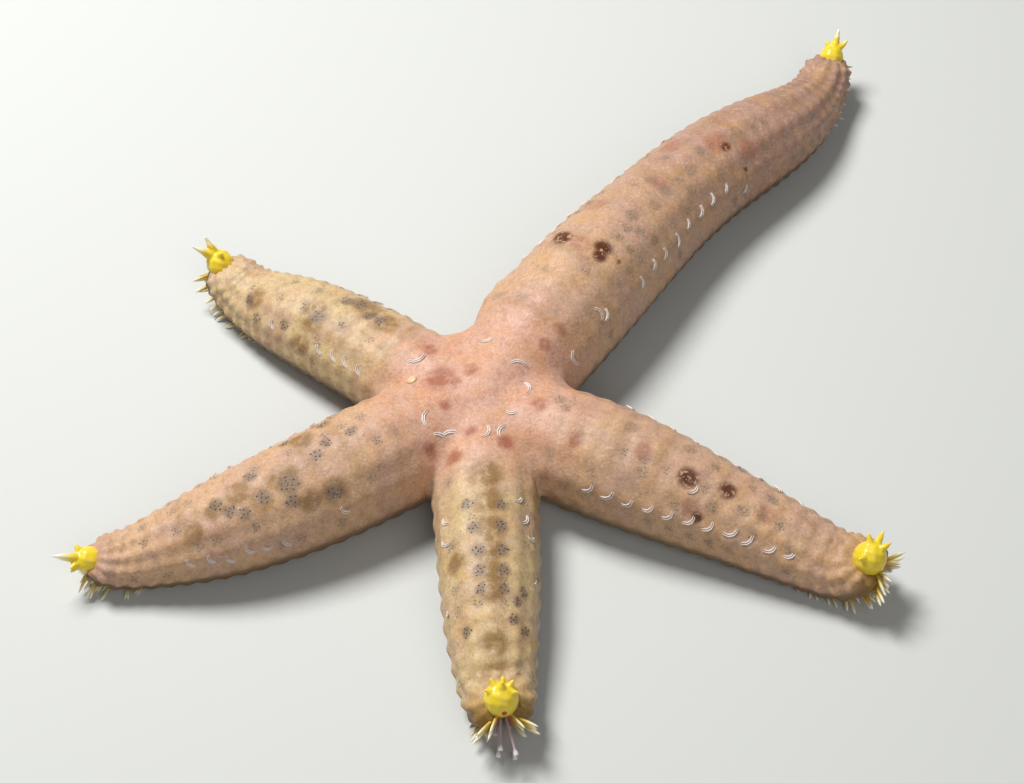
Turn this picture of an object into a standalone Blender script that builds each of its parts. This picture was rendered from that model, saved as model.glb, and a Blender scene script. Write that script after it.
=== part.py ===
"""A five-armed sea star at life size, resting on a level floor with its arm tips curled up.

Metres, +Z up, the floor at Z = 0. The origin lies on the floor under the middle of the
whole animal. +Y points away from the viewer and +X to the viewer's right.
"""

import math
import random
from collections import namedtuple

import bmesh
import bpy
from mathutils import Vector

MM = 0.001
GAP = 0.3 * MM

# The disc's centre on the floor, measured from the origin.
DISC_CENTRE = Vector((-1.36, -12.14, 0.0)) * MM

# An arm's headings and radii are given at even steps from the disc's centre to the arm's end.
# Its last stretch, curl_length long, bends upwards by curl degrees.
Arm = namedtuple("Arm", "length headings radii curl curl_length")
ARMS = {
    "rear_left": Arm(49 * MM, (148, 144, 147, 140), (7.4, 7.1, 6.2, 3.4), 55, 12 * MM),
    "rear_right": Arm(93.5 * MM, (57.5, 55, 51, 41, 70), (8.0, 9.1, 8.0, 6.9, 3.2), 45, 12 * MM),
    "right": Arm(60.5 * MM, (-27.5, -25.5, -26.5, -27), (7.4, 7.9, 6.0, 3.8), 80, 10 * MM),
    "front": Arm(49.5 * MM, (-87, -87, -87, -80), (7.4, 7.0, 6.0, 3.8), 85, 9 * MM),
    "left": Arm(58 * MM, (-151, -149, -159, -171), (7.6, 8.0, 6.7, 3.1), 38, 8 * MM),
}

# The last bit of an arm, as long as its own end radius, rounds off to this share of the radius.
END_SHARE = 0.6

# A cross-section is a circle cut flat by the floor, with a furrow along the middle underneath.
OUTER_POINTS = 11
OUTER_SPAN = math.radians(145)
AXIS_HEIGHT = -math.cos(OUTER_SPAN)
FURROW_HALF_WIDTH = 0.28
FURROW_DEPTH = 0.55

PLATE_PITCH = 3.6 * MM
PLATE_RISE = 0.22 * MM
HALF_PITCH = PLATE_PITCH / 2
LEAST_RING_STEP = 0.4  # of half a pitch, so that no two rings nearly touch
PATH_STEP = 0.5 * MM
SHARP_ANGLE = math.radians(50)
SEED = 11

DISC_REACH = 15.5 * MM
ARM_PARTS = ("base", "middle", "end")

CUSHION_RADIUS = 12.5 * MM
CUSHION_HEIGHT = 13.6 * MM
CUSHION_SIDES = 20
CUSHION_FOOT = 0.84  # the dome's share of its radius where it stands
CUSHION_LATITUDES = (-25, 0, 25, 45, 62, 78)
CUSHION_POWER = 0.7  # below 1, for a dome with a flat top and steep sides
BELOW_FLOOR = 1 * MM
MOUTH_RADIUS = 3.8 * MM
MOUTH_DEPTH = 3.4 * MM
# A jaw's distance from the middle, half width, lowest and highest point, at its root and tip.
JAW_ROOT = (3.0 * MM, 1.1 * MM, 0.35 * MM, 1.35 * MM)
JAW_TIP = (0.9 * MM, 0.4 * MM, 0.5 * MM, 1.75 * MM)
CLEAR_OF_FLOOR = 0.12 * MM

# Tube feet and furrow spines stand in two rows along the furrow, one after the other.
FURROW_PITCH = 6.6 * MM
FOOT_MARGIN = 1.6 * MM
FOOT_SIDES = 5
FOOT_RADIUS = 0.3 * MM
SUCKER_RADIUS = 0.5 * MM
ROOT_DEPTH = 0.6 * MM
REACHING_FOOT = 3.6 * MM
CURLED_FOOT_PITCH = 1.9 * MM
CURLED_FOOT_MARGIN = 1.4 * MM
REACHING_CURL = math.radians(25)
SPINE_SIDES = 4
SPINE_RADIUS = 0.36 * MM
SPINE_LENGTH = 2.2 * MM
CURLED_SPINE_PITCH = 1.7 * MM
CURLED_SPINE_MARGIN = 0.8 * MM
FANNED_CURL = math.radians(12)
CURLED_SHARE = 0.75  # of the curl's length, where the growths change to their curled ways

# Each crescent pedicellaria is a low arched ridge that bulges outwards and down an arm's side.
# A row gives how many there are, how far along the arm the first and last one lie, and how
# far they are turned from the arm's top, in degrees, to the left where positive.
Row = namedtuple("Row", "count start end start_turn end_turn")
CRESCENTS = {
    "rear_left": (Row(4, 16.8 * MM, 23.9 * MM, 54, 59), Row(4, 19 * MM, 30 * MM, -57, -60)),
    "rear_right": (Row(7, 29.9 * MM, 50.8 * MM, -62, -58), Row(7, 27 * MM, 55 * MM, 60, 64)),
    "right": (Row(11, 20 * MM, 48 * MM, -67, -54), Row(7, 22 * MM, 45 * MM, 62, 58)),
    "front": (Row(3, 18.7 * MM, 23.6 * MM, 40, 60), Row(2, 20.6 * MM, 23.9 * MM, -59, -57)),
    "left": (Row(6, 32.8 * MM, 44.8 * MM, 76, 70), Row(5, 20 * MM, 40 * MM, -60, -62)),
}
CRESCENT_MARGIN = 1.2 * MM
DIAGONAL = math.sqrt(0.5)
CRESCENT_HALF_LENGTH = 1.0 * MM
CRESCENT_HALF_WIDTH = 0.32 * MM
CRESCENT_BULGE = 0.5 * MM
CRESCENT_RISE = 0.45 * MM
CRESCENT_ROOT = 0.7 * MM

# Each spine of a terminal plate: how far it leans from the arm's direction and how far that
# lean is turned from the arm's top, in degrees, and how far it stands out of the plate.
CROWNS = {
    "rear_left": ((32, 90, 2.6 * MM), (4, 0, 1.9 * MM), (65, 0, 0.8 * MM)),
    "rear_right": ((4, 0, 2.4 * MM), (36, -90, 1.6 * MM), (45, 80, 0.9 * MM)),
    "right": ((75, 90, 2.0 * MM), (55, 45, 1.1 * MM), (50, 130, 1.3 * MM), (70, -60, 1.0 * MM)),
    "front": (
        (62, 100, 0.6 * MM),
        (60, 55, 0.7 * MM),
        (55, 15, 0.7 * MM),
        (58, -30, 0.8 * MM),
        (60, -75, 0.7 * MM),
        (20, 20, 0.6 * MM),
    ),
    "left": ((12, 90, 3.3 * MM), (48, 100, 1.2 * MM), (62, 125, 1.0 * MM), (45, -60, 0.8 * MM)),
}
CROWN_RADIUS = 0.62 * MM
CROWN_FOOT = 0.8  # of the plate's radius, where a spine's own length begins
CROWN_PROFILE = ((0, 1.0), (0.35, 1.0), (0.8, 0.55), (1, 0.2))
TERMINAL_NOTCH = 0.35
TERMINAL_LATITUDES = (0, 25, 50, 70)
TERMINAL_BULGE = 1.1

PALE_ARMS = ("front", "rear_left")
SKIN_COLOUR = (0.62, 0.36, 0.24)
PALE_SKIN_COLOUR = (0.63, 0.47, 0.29)
TERMINAL_COLOUR = (0.87, 0.72, 0.06)
MOUTH_COLOUR = (0.55, 0.33, 0.18)


def smooth_value(values, fraction):
    """The value at a fraction of the way along evenly spaced values, on a smooth curve."""
    last = len(values) - 1
    place = min(max(fraction, 0.0), 1.0) * last
    index = min(int(place), last - 1)
    f = place - index
    before = values[max(index - 1, 0)]
    start = values[index]
    end = values[index + 1]
    after = values[min(index + 2, last)]
    cubic = -before / 2 + 1.5 * start - 1.5 * end + after / 2
    square = before - 2.5 * start + 2 * end - after / 2
    linear = (end - before) / 2
    return start + f * (linear + f * (square + f * cubic))


def radius_at(arm, along):
    """The arm's radius here, rounded off just before its end."""
    end_radius = arm.radii[-1] * MM
    rounding = max(0.0, 1 - (arm.length - along) / end_radius)
    share = math.sqrt(1 - (1 - END_SHARE**2) * min(rounding, 1.0) ** 2)
    return smooth_value(arm.radii, along / arm.length) * MM * share


def curl_at(arm, along):
    """How far the arm points up at this length, in radians."""
    part = max(0.0, (along - arm.length + arm.curl_length) / arm.curl_length)
    part = min(part, 1.0)
    return math.radians(arm.curl) * part * part * (3 - 2 * part)


def directions(arm, along):
    """The arm's forward, left and upward directions at this length."""
    heading = math.radians(smooth_value(arm.headings, along / arm.length))
    pitch = curl_at(arm, along)
    level = Vector((math.cos(heading), math.sin(heading), 0.0))
    left = Vector((-level.y, level.x, 0.0))
    forward = level * math.cos(pitch) + Vector((0, 0, math.sin(pitch)))
    up = forward.cross(left)
    return forward, left, up


def axis_point(arm, along):
    """The point on the arm's axis at this length, its underside on the floor until the curl."""
    point = DISC_CENTRE.copy()
    steps = max(1, math.ceil(abs(along) / PATH_STEP))
    step = along / steps
    for index in range(steps):
        point += directions(arm, (index + 0.5) * step)[0] * step
    point.z += radius_at(arm, along) * AXIS_HEIGHT
    return point


def plate_relief(row, ring):
    """Rise of the plates: crests and dips alternate along the rows that carry plates."""
    if row % 2:
        return -PLATE_RISE
    return PLATE_RISE if ring % 2 else -PLATE_RISE / 2


def section(radius, ring=None, furrow=True, depth=FURROW_DEPTH):
    """Points round a cross-section, as distances to the left and up from the axis."""
    middle = OUTER_POINTS // 2
    points = []
    for index in range(OUTER_POINTS):
        turn = OUTER_SPAN * (index - middle) / middle
        reach = radius
        on_floor = index in (0, OUTER_POINTS - 1)
        if ring is not None and not on_floor:
            reach += plate_relief(index - middle, ring)
        points.append((reach * math.sin(turn), reach * math.cos(turn)))
    floor = -radius * AXIS_HEIGHT
    if furrow:
        lip = radius * FURROW_HALF_WIDTH
        points.append((lip, floor))
        points.append((0.0, floor + radius * depth))
        points.append((-lip, floor))
    return points


def ring_at(arm, along, ring=None, furrow=True):
    centre = axis_point(arm, along)
    left, up = directions(arm, along)[1:]
    radius = radius_at(arm, along)
    return [centre + left * a + up * b for a, b in section(radius, ring, furrow)]


def loft(name, rings, material):
    """A closed object through rings of equal count, with a flat cap at each end."""
    mesh = bmesh.new()
    rows = [[mesh.verts.new(point) for point in ring] for ring in rings]
    count = len(rows[0])
    for lower, upper in zip(rows, rows[1:]):
        for index in range(count):
            after = (index + 1) % count
            mesh.faces.new((lower[index], lower[after], upper[after], upper[index]))
    mesh.faces.new(rows[0][::-1])
    mesh.faces.new(rows[-1])
    bmesh.ops.recalc_face_normals(mesh, faces=mesh.faces[:])
    bmesh.ops.triangulate(mesh, faces=mesh.faces[:])
    return finish_object(name, mesh, material)


def finish_object(name, mesh, material):
    data = bpy.data.meshes.new(name)
    mesh.to_mesh(data)
    mesh.free()
    data.materials.append(material)
    data.shade_smooth()
    data.set_sharp_from_angle(angle=SHARP_ANGLE)
    made = bpy.data.objects.new(name, data)
    bpy.context.scene.collection.objects.link(made)
    return made


def surface(name, colour, roughness):
    """A living surface: rough, not metallic."""
    material = bpy.data.materials.new(name)
    material.use_nodes = True
    shader = material.node_tree.nodes["Principled BSDF"]
    shader.inputs["Base Color"].default_value = (*colour, 1)
    shader.inputs["Roughness"].default_value = roughness
    shader.inputs["Metallic"].default_value = 0.0
    return material


def combine(target, pieces, operation):
    """Joins the pieces to the target or cuts them from it, then removes them.

    All of them are closed, as the manifold solver needs. The exact solver leaves open edges
    where the growths of a curled tip cross.
    """
    group = bpy.data.collections.new(f"{target.name}_{operation.lower()}")
    bpy.context.scene.collection.children.link(group)
    for piece in pieces:
        bpy.context.scene.collection.objects.unlink(piece)
        group.objects.link(piece)
    modifier = target.modifiers.new(operation.lower(), "BOOLEAN")
    modifier.operation = operation
    modifier.operand_type = "COLLECTION"
    modifier.collection = group
    modifier.solver = "MANIFOLD"
    bpy.context.view_layer.objects.active = target
    bpy.ops.object.modifier_apply(modifier=modifier.name)
    for piece in pieces:
        bpy.data.objects.remove(piece)
    bpy.data.collections.remove(group)


def keep_largest_surface(target):
    """Drops loose scraps and sealed hollows that a union can leave."""
    mesh = bmesh.new()
    mesh.from_mesh(target.data)
    mesh.verts.ensure_lookup_table()
    unseen = set(mesh.verts)
    groups = []
    while unseen:
        reached = [unseen.pop()]
        for vertex in reached:
            for edge in vertex.link_edges:
                other = edge.other_vert(vertex)
                if other in unseen:
                    unseen.remove(other)
                    reached.append(other)
        groups.append(reached)
    groups.sort(key=len, reverse=True)
    for group in groups[1:]:
        bmesh.ops.delete(mesh, geom=group, context="VERTS")
    mesh.to_mesh(target.data)
    mesh.free()
    target.data.set_sharp_from_angle(angle=SHARP_ANGLE)


def arm_stretch(name, arm, start, end, material):
    """A length of arm with its plates and furrow, from one distance along it to another."""
    first = math.ceil(start / HALF_PITCH + LEAST_RING_STEP)
    last = math.floor(end / HALF_PITCH - LEAST_RING_STEP)
    places = [(start, first - 1)]
    places += [(ring * HALF_PITCH, ring) for ring in range(first, last + 1)]
    places += [(end, last + 1)]
    rounding = arm.length - arm.radii[-1] * MM / 2
    if start < rounding < end:
        places.insert(-1, (max(rounding, places[-2][0] + HALF_PITCH / 2), last))
    rings = [ring_at(arm, along, ring) for along, ring in places]
    return loft(name, rings, material)


def rod(name, start, end, profile, sides, material):
    """A tapering rod: the profile gives its radius at each fraction of its length."""
    along = (end - start).normalized()
    across = along.orthogonal().normalized()
    third = along.cross(across)
    rings = []
    for fraction, radius in profile:
        middle = start.lerp(end, fraction)
        ring = []
        for index in range(sides):
            angle = 2 * math.pi * index / sides
            ring.append(middle + (across * math.cos(angle) + third * math.sin(angle)) * radius)
        rings.append(ring)
    return loft(name, rings, material)


def spread(start, end, pitch, margin):
    """Evenly spaced places between two distances, clear of both ends by the margin."""
    room = end - start - 2 * margin
    count = max(1, math.floor(room / pitch) + 1)
    first = start + margin + (room - (count - 1) * pitch) / 2
    return [first + index * pitch for index in range(count)]


def in_section(arm, along, to_left, upward):
    """The point that lies this far left of and above the axis at this length."""
    left, up = directions(arm, along)[1:]
    return axis_point(arm, along) + left * to_left + up * upward


def above_floor(start, end, clearance):
    """The end drawn back towards the start until it clears the floor."""
    if end.z >= clearance:
        return end
    return start.lerp(end, (start.z - clearance) / (start.z - end.z))


def tube_foot(arm, along, side, draw, material):
    """A foot from the furrow's roof to the floor, or out into the water where the arm curls."""
    radius = radius_at(arm, along)
    floor = -radius * AXIS_HEIGHT
    root_aside = 0.1
    roof = FURROW_DEPTH * (1 - root_aside / FURROW_HALF_WIDTH) * radius
    start = in_section(arm, along, side * root_aside * radius, floor + roof + ROOT_DEPTH)
    if curl_at(arm, along) > REACHING_CURL:
        sway = draw.uniform(-0.3, 0.3) * MM
        reach = REACHING_FOOT * draw.uniform(0.6, 1.0)
        end = in_section(arm, along + sway, side * 0.3 * radius, floor - reach)
        end = above_floor(start, end, SUCKER_RADIUS + CLEAR_OF_FLOOR)
    else:
        end = in_section(arm, along, side * 0.13 * radius, floor + CLEAR_OF_FLOOR)
    full_size = 7 * MM
    scale = 0.5 + 0.5 * min(1.0, radius / full_size)
    thin = FOOT_RADIUS * scale
    wide = SUCKER_RADIUS * scale
    profile = ((0, thin), (0.8, thin), (0.9, wide), (1, wide * 0.9))
    return rod("foot", start, end, profile, FOOT_SIDES, material)


def furrow_spine(arm, along, side, draw, material):
    """A blunt spine across the furrow, or fanned out beside it where the arm curls."""
    radius = radius_at(arm, along)
    floor = -radius * AXIS_HEIGHT
    length = SPINE_LENGTH * draw.uniform(0.85, 1.1)
    if curl_at(arm, along) > FANNED_CURL:
        start = in_section(arm, along, side * 0.4 * radius, floor + ROOT_DEPTH)
        outer = in_section(arm, along, side * 0.8 * radius, floor - 2 * ROOT_DEPTH)
        end = start + (outer - start).normalized() * length
        end = above_floor(start, end, SPINE_RADIUS)
    else:
        start = in_section(arm, along, side * 0.3 * radius, floor + 0.2 * radius)
        end = in_section(arm, along, side * 0.07 * radius, floor + ROOT_DEPTH)
    profile = ((0, SPINE_RADIUS), (0.7, SPINE_RADIUS * 0.9), (1, SPINE_RADIUS * 0.45))
    return rod("furrow_spine", start, end, profile, SPINE_SIDES, material)


def crescent(arm, along, turn, material):
    """An arched ridge: the two closed valves of one pedicellaria."""
    radius = radius_at(arm, along)
    side = math.copysign(1, turn)
    rings = []
    for place in (-1, -0.35, 0.35, 1):
        across = place * CRESCENT_HALF_LENGTH
        bulge = CRESCENT_BULGE * (1 - place * place)
        crest = CRESCENT_RISE * (1.1 - place * place)
        ring = []
        for offset, rise in ((-1, -CRESCENT_ROOT), (1, -CRESCENT_ROOT), (0, crest)):
            outwards = bulge + offset * CRESCENT_HALF_WIDTH
            spot = along + (outwards + across) * DIAGONAL
            angle = turn + side * (outwards - across) * DIAGONAL / radius
            reach = radius_at(arm, spot) + rise
            ring.append(in_section(arm, spot, reach * math.sin(angle), reach * math.cos(angle)))
        rings.append(ring)
    return loft("crescent", rings, material)


def crescents_between(name, arm, start, end, material):
    """The crescents of one length of an arm, each kept clear of the length's ends."""
    made = []
    for row in CRESCENTS[name]:
        for index in range(row.count):
            share = index / (row.count - 1)
            along = row.start + (row.end - row.start) * share
            turn = math.radians(row.start_turn + (row.end_turn - row.start_turn) * share)
            if start <= along < end:
                spot = min(max(along, start + CRESCENT_MARGIN), end - CRESCENT_MARGIN)
                made.append(crescent(arm, spot, turn, material))
    return made


def arm_growths(name, arm, start, end, draw, material):
    """All that grows from one length of an arm."""
    curl_start = arm.length - arm.curl_length * CURLED_SHARE
    lying_end = min(end, curl_start)
    feet = spread(start, lying_end, FURROW_PITCH, FOOT_MARGIN)
    spines = spread(start, lying_end, FURROW_PITCH, FOOT_MARGIN + FURROW_PITCH / 2)
    if end > curl_start:
        feet += spread(curl_start, end, CURLED_FOOT_PITCH, CURLED_FOOT_MARGIN)
        spines += spread(curl_start, end, CURLED_SPINE_PITCH, CURLED_SPINE_MARGIN)
    grown = crescents_between(name, arm, start, end, material)
    for side in (-1, 1):
        for along in feet:
            grown.append(tube_foot(arm, along, side, draw, material))
        for along in spines:
            grown.append(furrow_spine(arm, along, side, draw, material))
    return grown


def build_arm(name, arm, material):
    """The arm's lengths, each a hair's breadth from the next."""
    draw = random.Random(f"{name}{SEED}")
    part_length = (arm.length - DISC_REACH) / len(ARM_PARTS)
    for index, part in enumerate(ARM_PARTS):
        start = DISC_REACH + index * part_length + GAP / 2
        end = DISC_REACH + (index + 1) * part_length - GAP / 2
        stretch = arm_stretch(f"arm_{name}_{part}", arm, start, end, material)
        growths = arm_growths(name, arm, start, end, draw, material)
        combine(stretch, growths, "UNION")
        keep_largest_surface(stretch)


def stub(name, arm, below, material):
    """The part of an arm inside the disc, with no furrow yet, reaching below the floor."""
    rings = []
    start = -2 * MM
    steps = 4
    length = DISC_REACH - GAP / 2 - start
    for index in range(steps + 1):
        ring = ring_at(arm, start + length * index / steps, furrow=False)
        ring.append(Vector((ring[-1].x, ring[-1].y, -below)))
        ring.append(Vector((ring[0].x, ring[0].y, -below)))
        rings.append(ring)
    return loft(name, rings, material)


def furrow_cutter(name, arm, material):
    """A three-sided bar along the arm's furrow, from the mouth to beyond the disc."""
    rings = []
    slope = FURROW_HALF_WIDTH / FURROW_DEPTH
    for along in (0.0, DISC_REACH / 2, DISC_REACH + MM):
        centre = axis_point(arm, along)
        left = directions(arm, along)[1]
        radius = radius_at(arm, along)
        half_width = radius * FURROW_HALF_WIDTH + BELOW_FLOOR * slope
        floor = Vector((centre.x, centre.y, -BELOW_FLOOR))
        top = Vector((centre.x, centre.y, radius * FURROW_DEPTH))
        rings.append([floor + left * half_width, top, floor - left * half_width])
    return loft(name, rings, material)


def round_ring(radius, height):
    """Points of a level circle about the disc's centre."""
    points = []
    for index in range(CUSHION_SIDES):
        angle = 2 * math.pi * index / CUSHION_SIDES
        offset = Vector((radius * math.cos(angle), radius * math.sin(angle), height))
        points.append(DISC_CENTRE + offset)
    return points


def cushion(name, material):
    """The plump middle of the disc, a flattened dome reaching just below the floor."""
    middle = CUSHION_HEIGHT / 2
    rings = [round_ring(CUSHION_RADIUS * CUSHION_FOOT, -BELOW_FLOOR * CUSHION_FOOT)]
    for degrees in CUSHION_LATITUDES:
        angle = math.radians(degrees)
        radius = CUSHION_RADIUS * math.cos(angle) ** CUSHION_POWER
        rise = math.copysign(abs(math.sin(angle)) ** CUSHION_POWER, angle)
        rings.append(round_ring(radius, middle + middle * rise))
    return loft(name, rings, material)


def floor_cutter(material):
    """A block whose top is the floor."""
    rings = [round_ring(2 * DISC_REACH, height) for height in (-6 * BELOW_FLOOR, 0.0)]
    return loft("floor_cutter", rings, material)


def build_disc(material):
    pieces = []
    for index, (name, arm) in enumerate(ARMS.items()):
        below = BELOW_FLOOR * (1 + index / len(ARMS))
        pieces.append(stub(f"stub_{name}", arm, below, material))
    disc = cushion("disc", material)
    combine(disc, pieces, "UNION")
    combine(disc, [floor_cutter(material)], "DIFFERENCE")
    cutters = [furrow_cutter(f"furrow_{name}", arm, material) for name, arm in ARMS.items()]
    rings = [
        round_ring(MOUTH_RADIUS, -1.4 * BELOW_FLOOR),
        round_ring(MOUTH_RADIUS, MOUTH_DEPTH / 2),
        round_ring(MOUTH_RADIUS / 2, MOUTH_DEPTH),
    ]
    opening = loft("mouth_recess", rings, material)
    combine(opening, cutters, "UNION")
    combine(disc, [opening], "DIFFERENCE")
    keep_largest_surface(disc)


def jaw(heading, material):
    """A wedge that points to the middle of the mouth between two arms."""
    outward = Vector((math.cos(heading), math.sin(heading), 0))
    across = Vector((-outward.y, outward.x, 0))
    rings = []
    for reach, half_width, low, high in (JAW_ROOT, JAW_TIP):
        middle = DISC_CENTRE + outward * reach
        top = middle + Vector((0, 0, high))
        bottom = middle + Vector((0, 0, low))
        wide = across * half_width
        narrow = wide * 0.6
        rings.append([top - wide, top + wide, bottom + narrow, bottom - narrow])
    return loft("jaw", rings, material)


def build_mouth(material):
    """The soft roof of the mouth, a hair's breadth inside its recess, and five jaws below it."""
    rings = [
        round_ring(MOUTH_RADIUS * 0.35, MOUTH_DEPTH * 0.5),
        round_ring(MOUTH_RADIUS - GAP * 2, MOUTH_DEPTH * 0.3),
        round_ring(MOUTH_RADIUS - GAP, MOUTH_DEPTH / 2 - GAP / 2),
        round_ring(MOUTH_RADIUS / 2 - GAP / 2, MOUTH_DEPTH - GAP),
    ]
    mouth = loft("mouth", rings, material)
    headings = sorted(arm.headings[0] % 360 for arm in ARMS.values())
    jaws = []
    for first, second in zip(headings, headings[1:] + [headings[0] + 360]):
        jaws.append(jaw(math.radians((first + second) / 2), material))
    combine(mouth, jaws, "UNION")
    keep_largest_surface(mouth)


def crown_spines(crown, middle, radius, axes, material):
    """The conical spines of a terminal plate."""
    forward, left, up = axes
    profile = [(fraction, CROWN_RADIUS * share) for fraction, share in CROWN_PROFILE]
    spines = []
    for lean_degrees, turn_degrees, length in crown:
        lean = math.radians(lean_degrees)
        turn = math.radians(turn_degrees)
        outward = left * math.sin(turn) + up * math.cos(turn)
        direction = forward * math.cos(lean) + outward * math.sin(lean)
        tip = middle + direction * (radius * CROWN_FOOT + length)
        spines.append(rod("terminal_spine", middle, tip, profile, FOOT_SIDES, material))
    return spines


def build_terminal(name, arm, material):
    """The swollen plate that caps an arm's end, with its spines."""
    forward, left, up = directions(arm, arm.length)
    centre = axis_point(arm, arm.length) + forward * GAP
    radius = radius_at(arm, arm.length)
    rings = []
    for degrees in TERMINAL_LATITUDES:
        angle = math.radians(degrees)
        origin = centre + forward * radius * TERMINAL_BULGE * math.sin(angle)
        outline = section(radius * math.cos(angle), depth=TERMINAL_NOTCH)
        rings.append([origin + left * a + up * b for a, b in outline])
    plate = loft(f"terminal_{name}", rings, material)
    middle = centre + forward * radius * 0.45
    combine(plate, crown_spines(CROWNS[name], middle, radius, (forward, left, up), material), "UNION")
    keep_largest_surface(plate)


def main():
    for existing in list(bpy.data.objects):
        bpy.data.objects.remove(existing)
    skin = surface("granular_skin", SKIN_COLOUR, 0.5)
    pale_skin = surface("pale_granular_skin", PALE_SKIN_COLOUR, 0.5)
    terminal = surface("terminal_plate", TERMINAL_COLOUR, 0.3)
    build_disc(skin)
    build_mouth(surface("mouth_membrane", MOUTH_COLOUR, 0.55))
    for name, arm in ARMS.items():
        build_arm(name, arm, pale_skin if name in PALE_ARMS else skin)
        build_terminal(name, arm, terminal)


main()
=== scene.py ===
"""The looks of a life-size five-armed sea star, modelled around its solids.

One skin covers the disc and the arms. Terminal plates, pedicellariae, pores, spines, tube feet
and the mouth are pieces of their own. Metres, +Z up, the floor at Z = 0.
"""

import math
from collections import namedtuple

import bpy
import numpy as np
from bpy.props import FloatProperty, FloatVectorProperty, IntProperty, PointerProperty
from mathutils import Matrix, Vector
from mathutils.bvhtree import BVHTree


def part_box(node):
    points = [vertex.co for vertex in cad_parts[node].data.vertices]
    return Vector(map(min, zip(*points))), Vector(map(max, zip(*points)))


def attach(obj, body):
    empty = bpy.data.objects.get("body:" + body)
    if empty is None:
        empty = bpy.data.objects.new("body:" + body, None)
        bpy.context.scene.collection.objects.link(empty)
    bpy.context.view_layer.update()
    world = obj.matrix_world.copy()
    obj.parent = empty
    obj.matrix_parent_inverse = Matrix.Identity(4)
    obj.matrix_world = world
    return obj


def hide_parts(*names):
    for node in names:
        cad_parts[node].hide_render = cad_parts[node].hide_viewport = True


bl_info = {
    "name": "Life-size sea star",
    "version": (1, 0, 0),
    "blender": (4, 5, 0),
    "location": "View3D > Sidebar > Sea star",
    "description": "Dresses a five-armed sea star in skin, plates, spines and feet",
    "category": "Add Mesh",
}

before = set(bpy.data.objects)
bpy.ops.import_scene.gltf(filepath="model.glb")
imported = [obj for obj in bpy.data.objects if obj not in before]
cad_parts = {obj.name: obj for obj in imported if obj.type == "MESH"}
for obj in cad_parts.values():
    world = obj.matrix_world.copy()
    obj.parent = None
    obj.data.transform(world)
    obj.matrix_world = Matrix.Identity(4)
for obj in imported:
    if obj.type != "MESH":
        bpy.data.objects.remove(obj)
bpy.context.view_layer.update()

MM = 0.001
SEED = 11

# The arms follow the solids: headings and radii at even steps from the disc's centre to the
# arm's end, the last stretch bending upwards. The plate pitch is the length of one plate.
Arm = namedtuple("Arm", "length headings radii curl curl_length plate_pitch")
ARMS = {
    "rear_left": Arm(49 * MM, (148, 144, 147, 140), (7.4, 7.1, 6.2, 3.4), 55, 12 * MM, 2.6 * MM),
    "rear_right": Arm(93.5 * MM, (57.5, 55, 51, 41, 70), (8.0, 9.1, 8.0, 6.9, 3.2), 45, 12 * MM, 2.9 * MM),
    "right": Arm(60.5 * MM, (-27.5, -25.5, -26.5, -27), (7.4, 7.9, 6.0, 3.8), 80, 10 * MM, 3.2 * MM),
    "front": Arm(49.5 * MM, (-87, -87, -87, -80), (7.4, 7.0, 6.0, 3.8), 85, 9 * MM, 3.5 * MM),
    "left": Arm(58 * MM, (-151, -149, -159, -171), (7.6, 8.0, 6.7, 3.1), 38, 8 * MM, 2.9 * MM),
}
END_SHARE = 0.6
OUTER_SPAN = math.radians(145)
AXIS_HEIGHT = -math.cos(OUTER_SPAN)
FURROW_HALF_WIDTH = 0.28
FURROW_DEPTH = 0.55
LINE_STEP = 0.25 * MM
LINE_BEFORE = 16  # steps of the line before the disc's centre
LINE_BEYOND = 24  # and beyond the arm's end
ABOVE_FLOOR = 0.04 * MM

CUSHION_RADIUS = 12.5 * MM
CUSHION_HEIGHT = 13.6 * MM
CUSHION_POWER = 0.7  # below 1, for a dome with a flat top and steep sides


def linear(hex_colour):
    """An sRGB hex colour as linear red, green and blue."""
    channels = [int(hex_colour[index : index + 2], 16) / 255 for index in (1, 3, 5)]
    return tuple(c / 12.92 if c <= 0.04045 else ((c + 0.055) / 1.055) ** 2.4 for c in channels)


def length_property(name, description, default):
    return FloatProperty(
        name=name, description=description, default=default, subtype="DISTANCE", unit="LENGTH"
    )


def colour_property(name, description, hex_colour):
    return FloatVectorProperty(
        name=name,
        description=description,
        default=linear(hex_colour),
        subtype="COLOR",
        size=3,
        min=0,
        max=1,
    )


class SeaStarBody(bpy.types.PropertyGroup):
    grain: length_property("Grain", "Edge length of the skin's faces", 0.42 * MM)
    plate_rise: length_property("Plate rise", "How far the marginal plates stand out", 0.34 * MM)
    granule: length_property("Granule", "Spacing of the skin's granules", 0.34 * MM)
    fillet_passes: IntProperty(name="Fillet", description="Smoothing passes where arms meet", default=16)


class SeaStarGrowths(bpy.types.PropertyGroup):
    crescent: length_property("Crescent", "Length of a pedicellaria", 2.1 * MM)
    furrow_pitch: length_property("Furrow spine pitch", "From one furrow spine to the next", 1.15 * MM)
    spine: length_property("Spine", "Length of a furrow spine", 1.7 * MM)
    foot_pitch: length_property("Foot pitch", "From one tube foot to the next", 1.5 * MM)


class SeaStarColours(bpy.types.PropertyGroup):
    rose: colour_property("Rose", "Pink of the disc", "#CFA088")
    tan: colour_property("Tan", "Tan of the long arms", "#C9A27E")
    cream: colour_property("Cream", "Yellow-cream of the pale arms", "#CDB384")
    ochre: colour_property("Ochre", "Blotches on the plates", "#8F6C3E")
    grey: colour_property("Grey", "Mauve-grey pore areas", "#84705E")
    umber: colour_property("Umber", "Dark brown spots", "#5A3018")
    yellow: colour_property("Yellow", "Terminal plates", "#F6D838")



# Geometry of the arms


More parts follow.
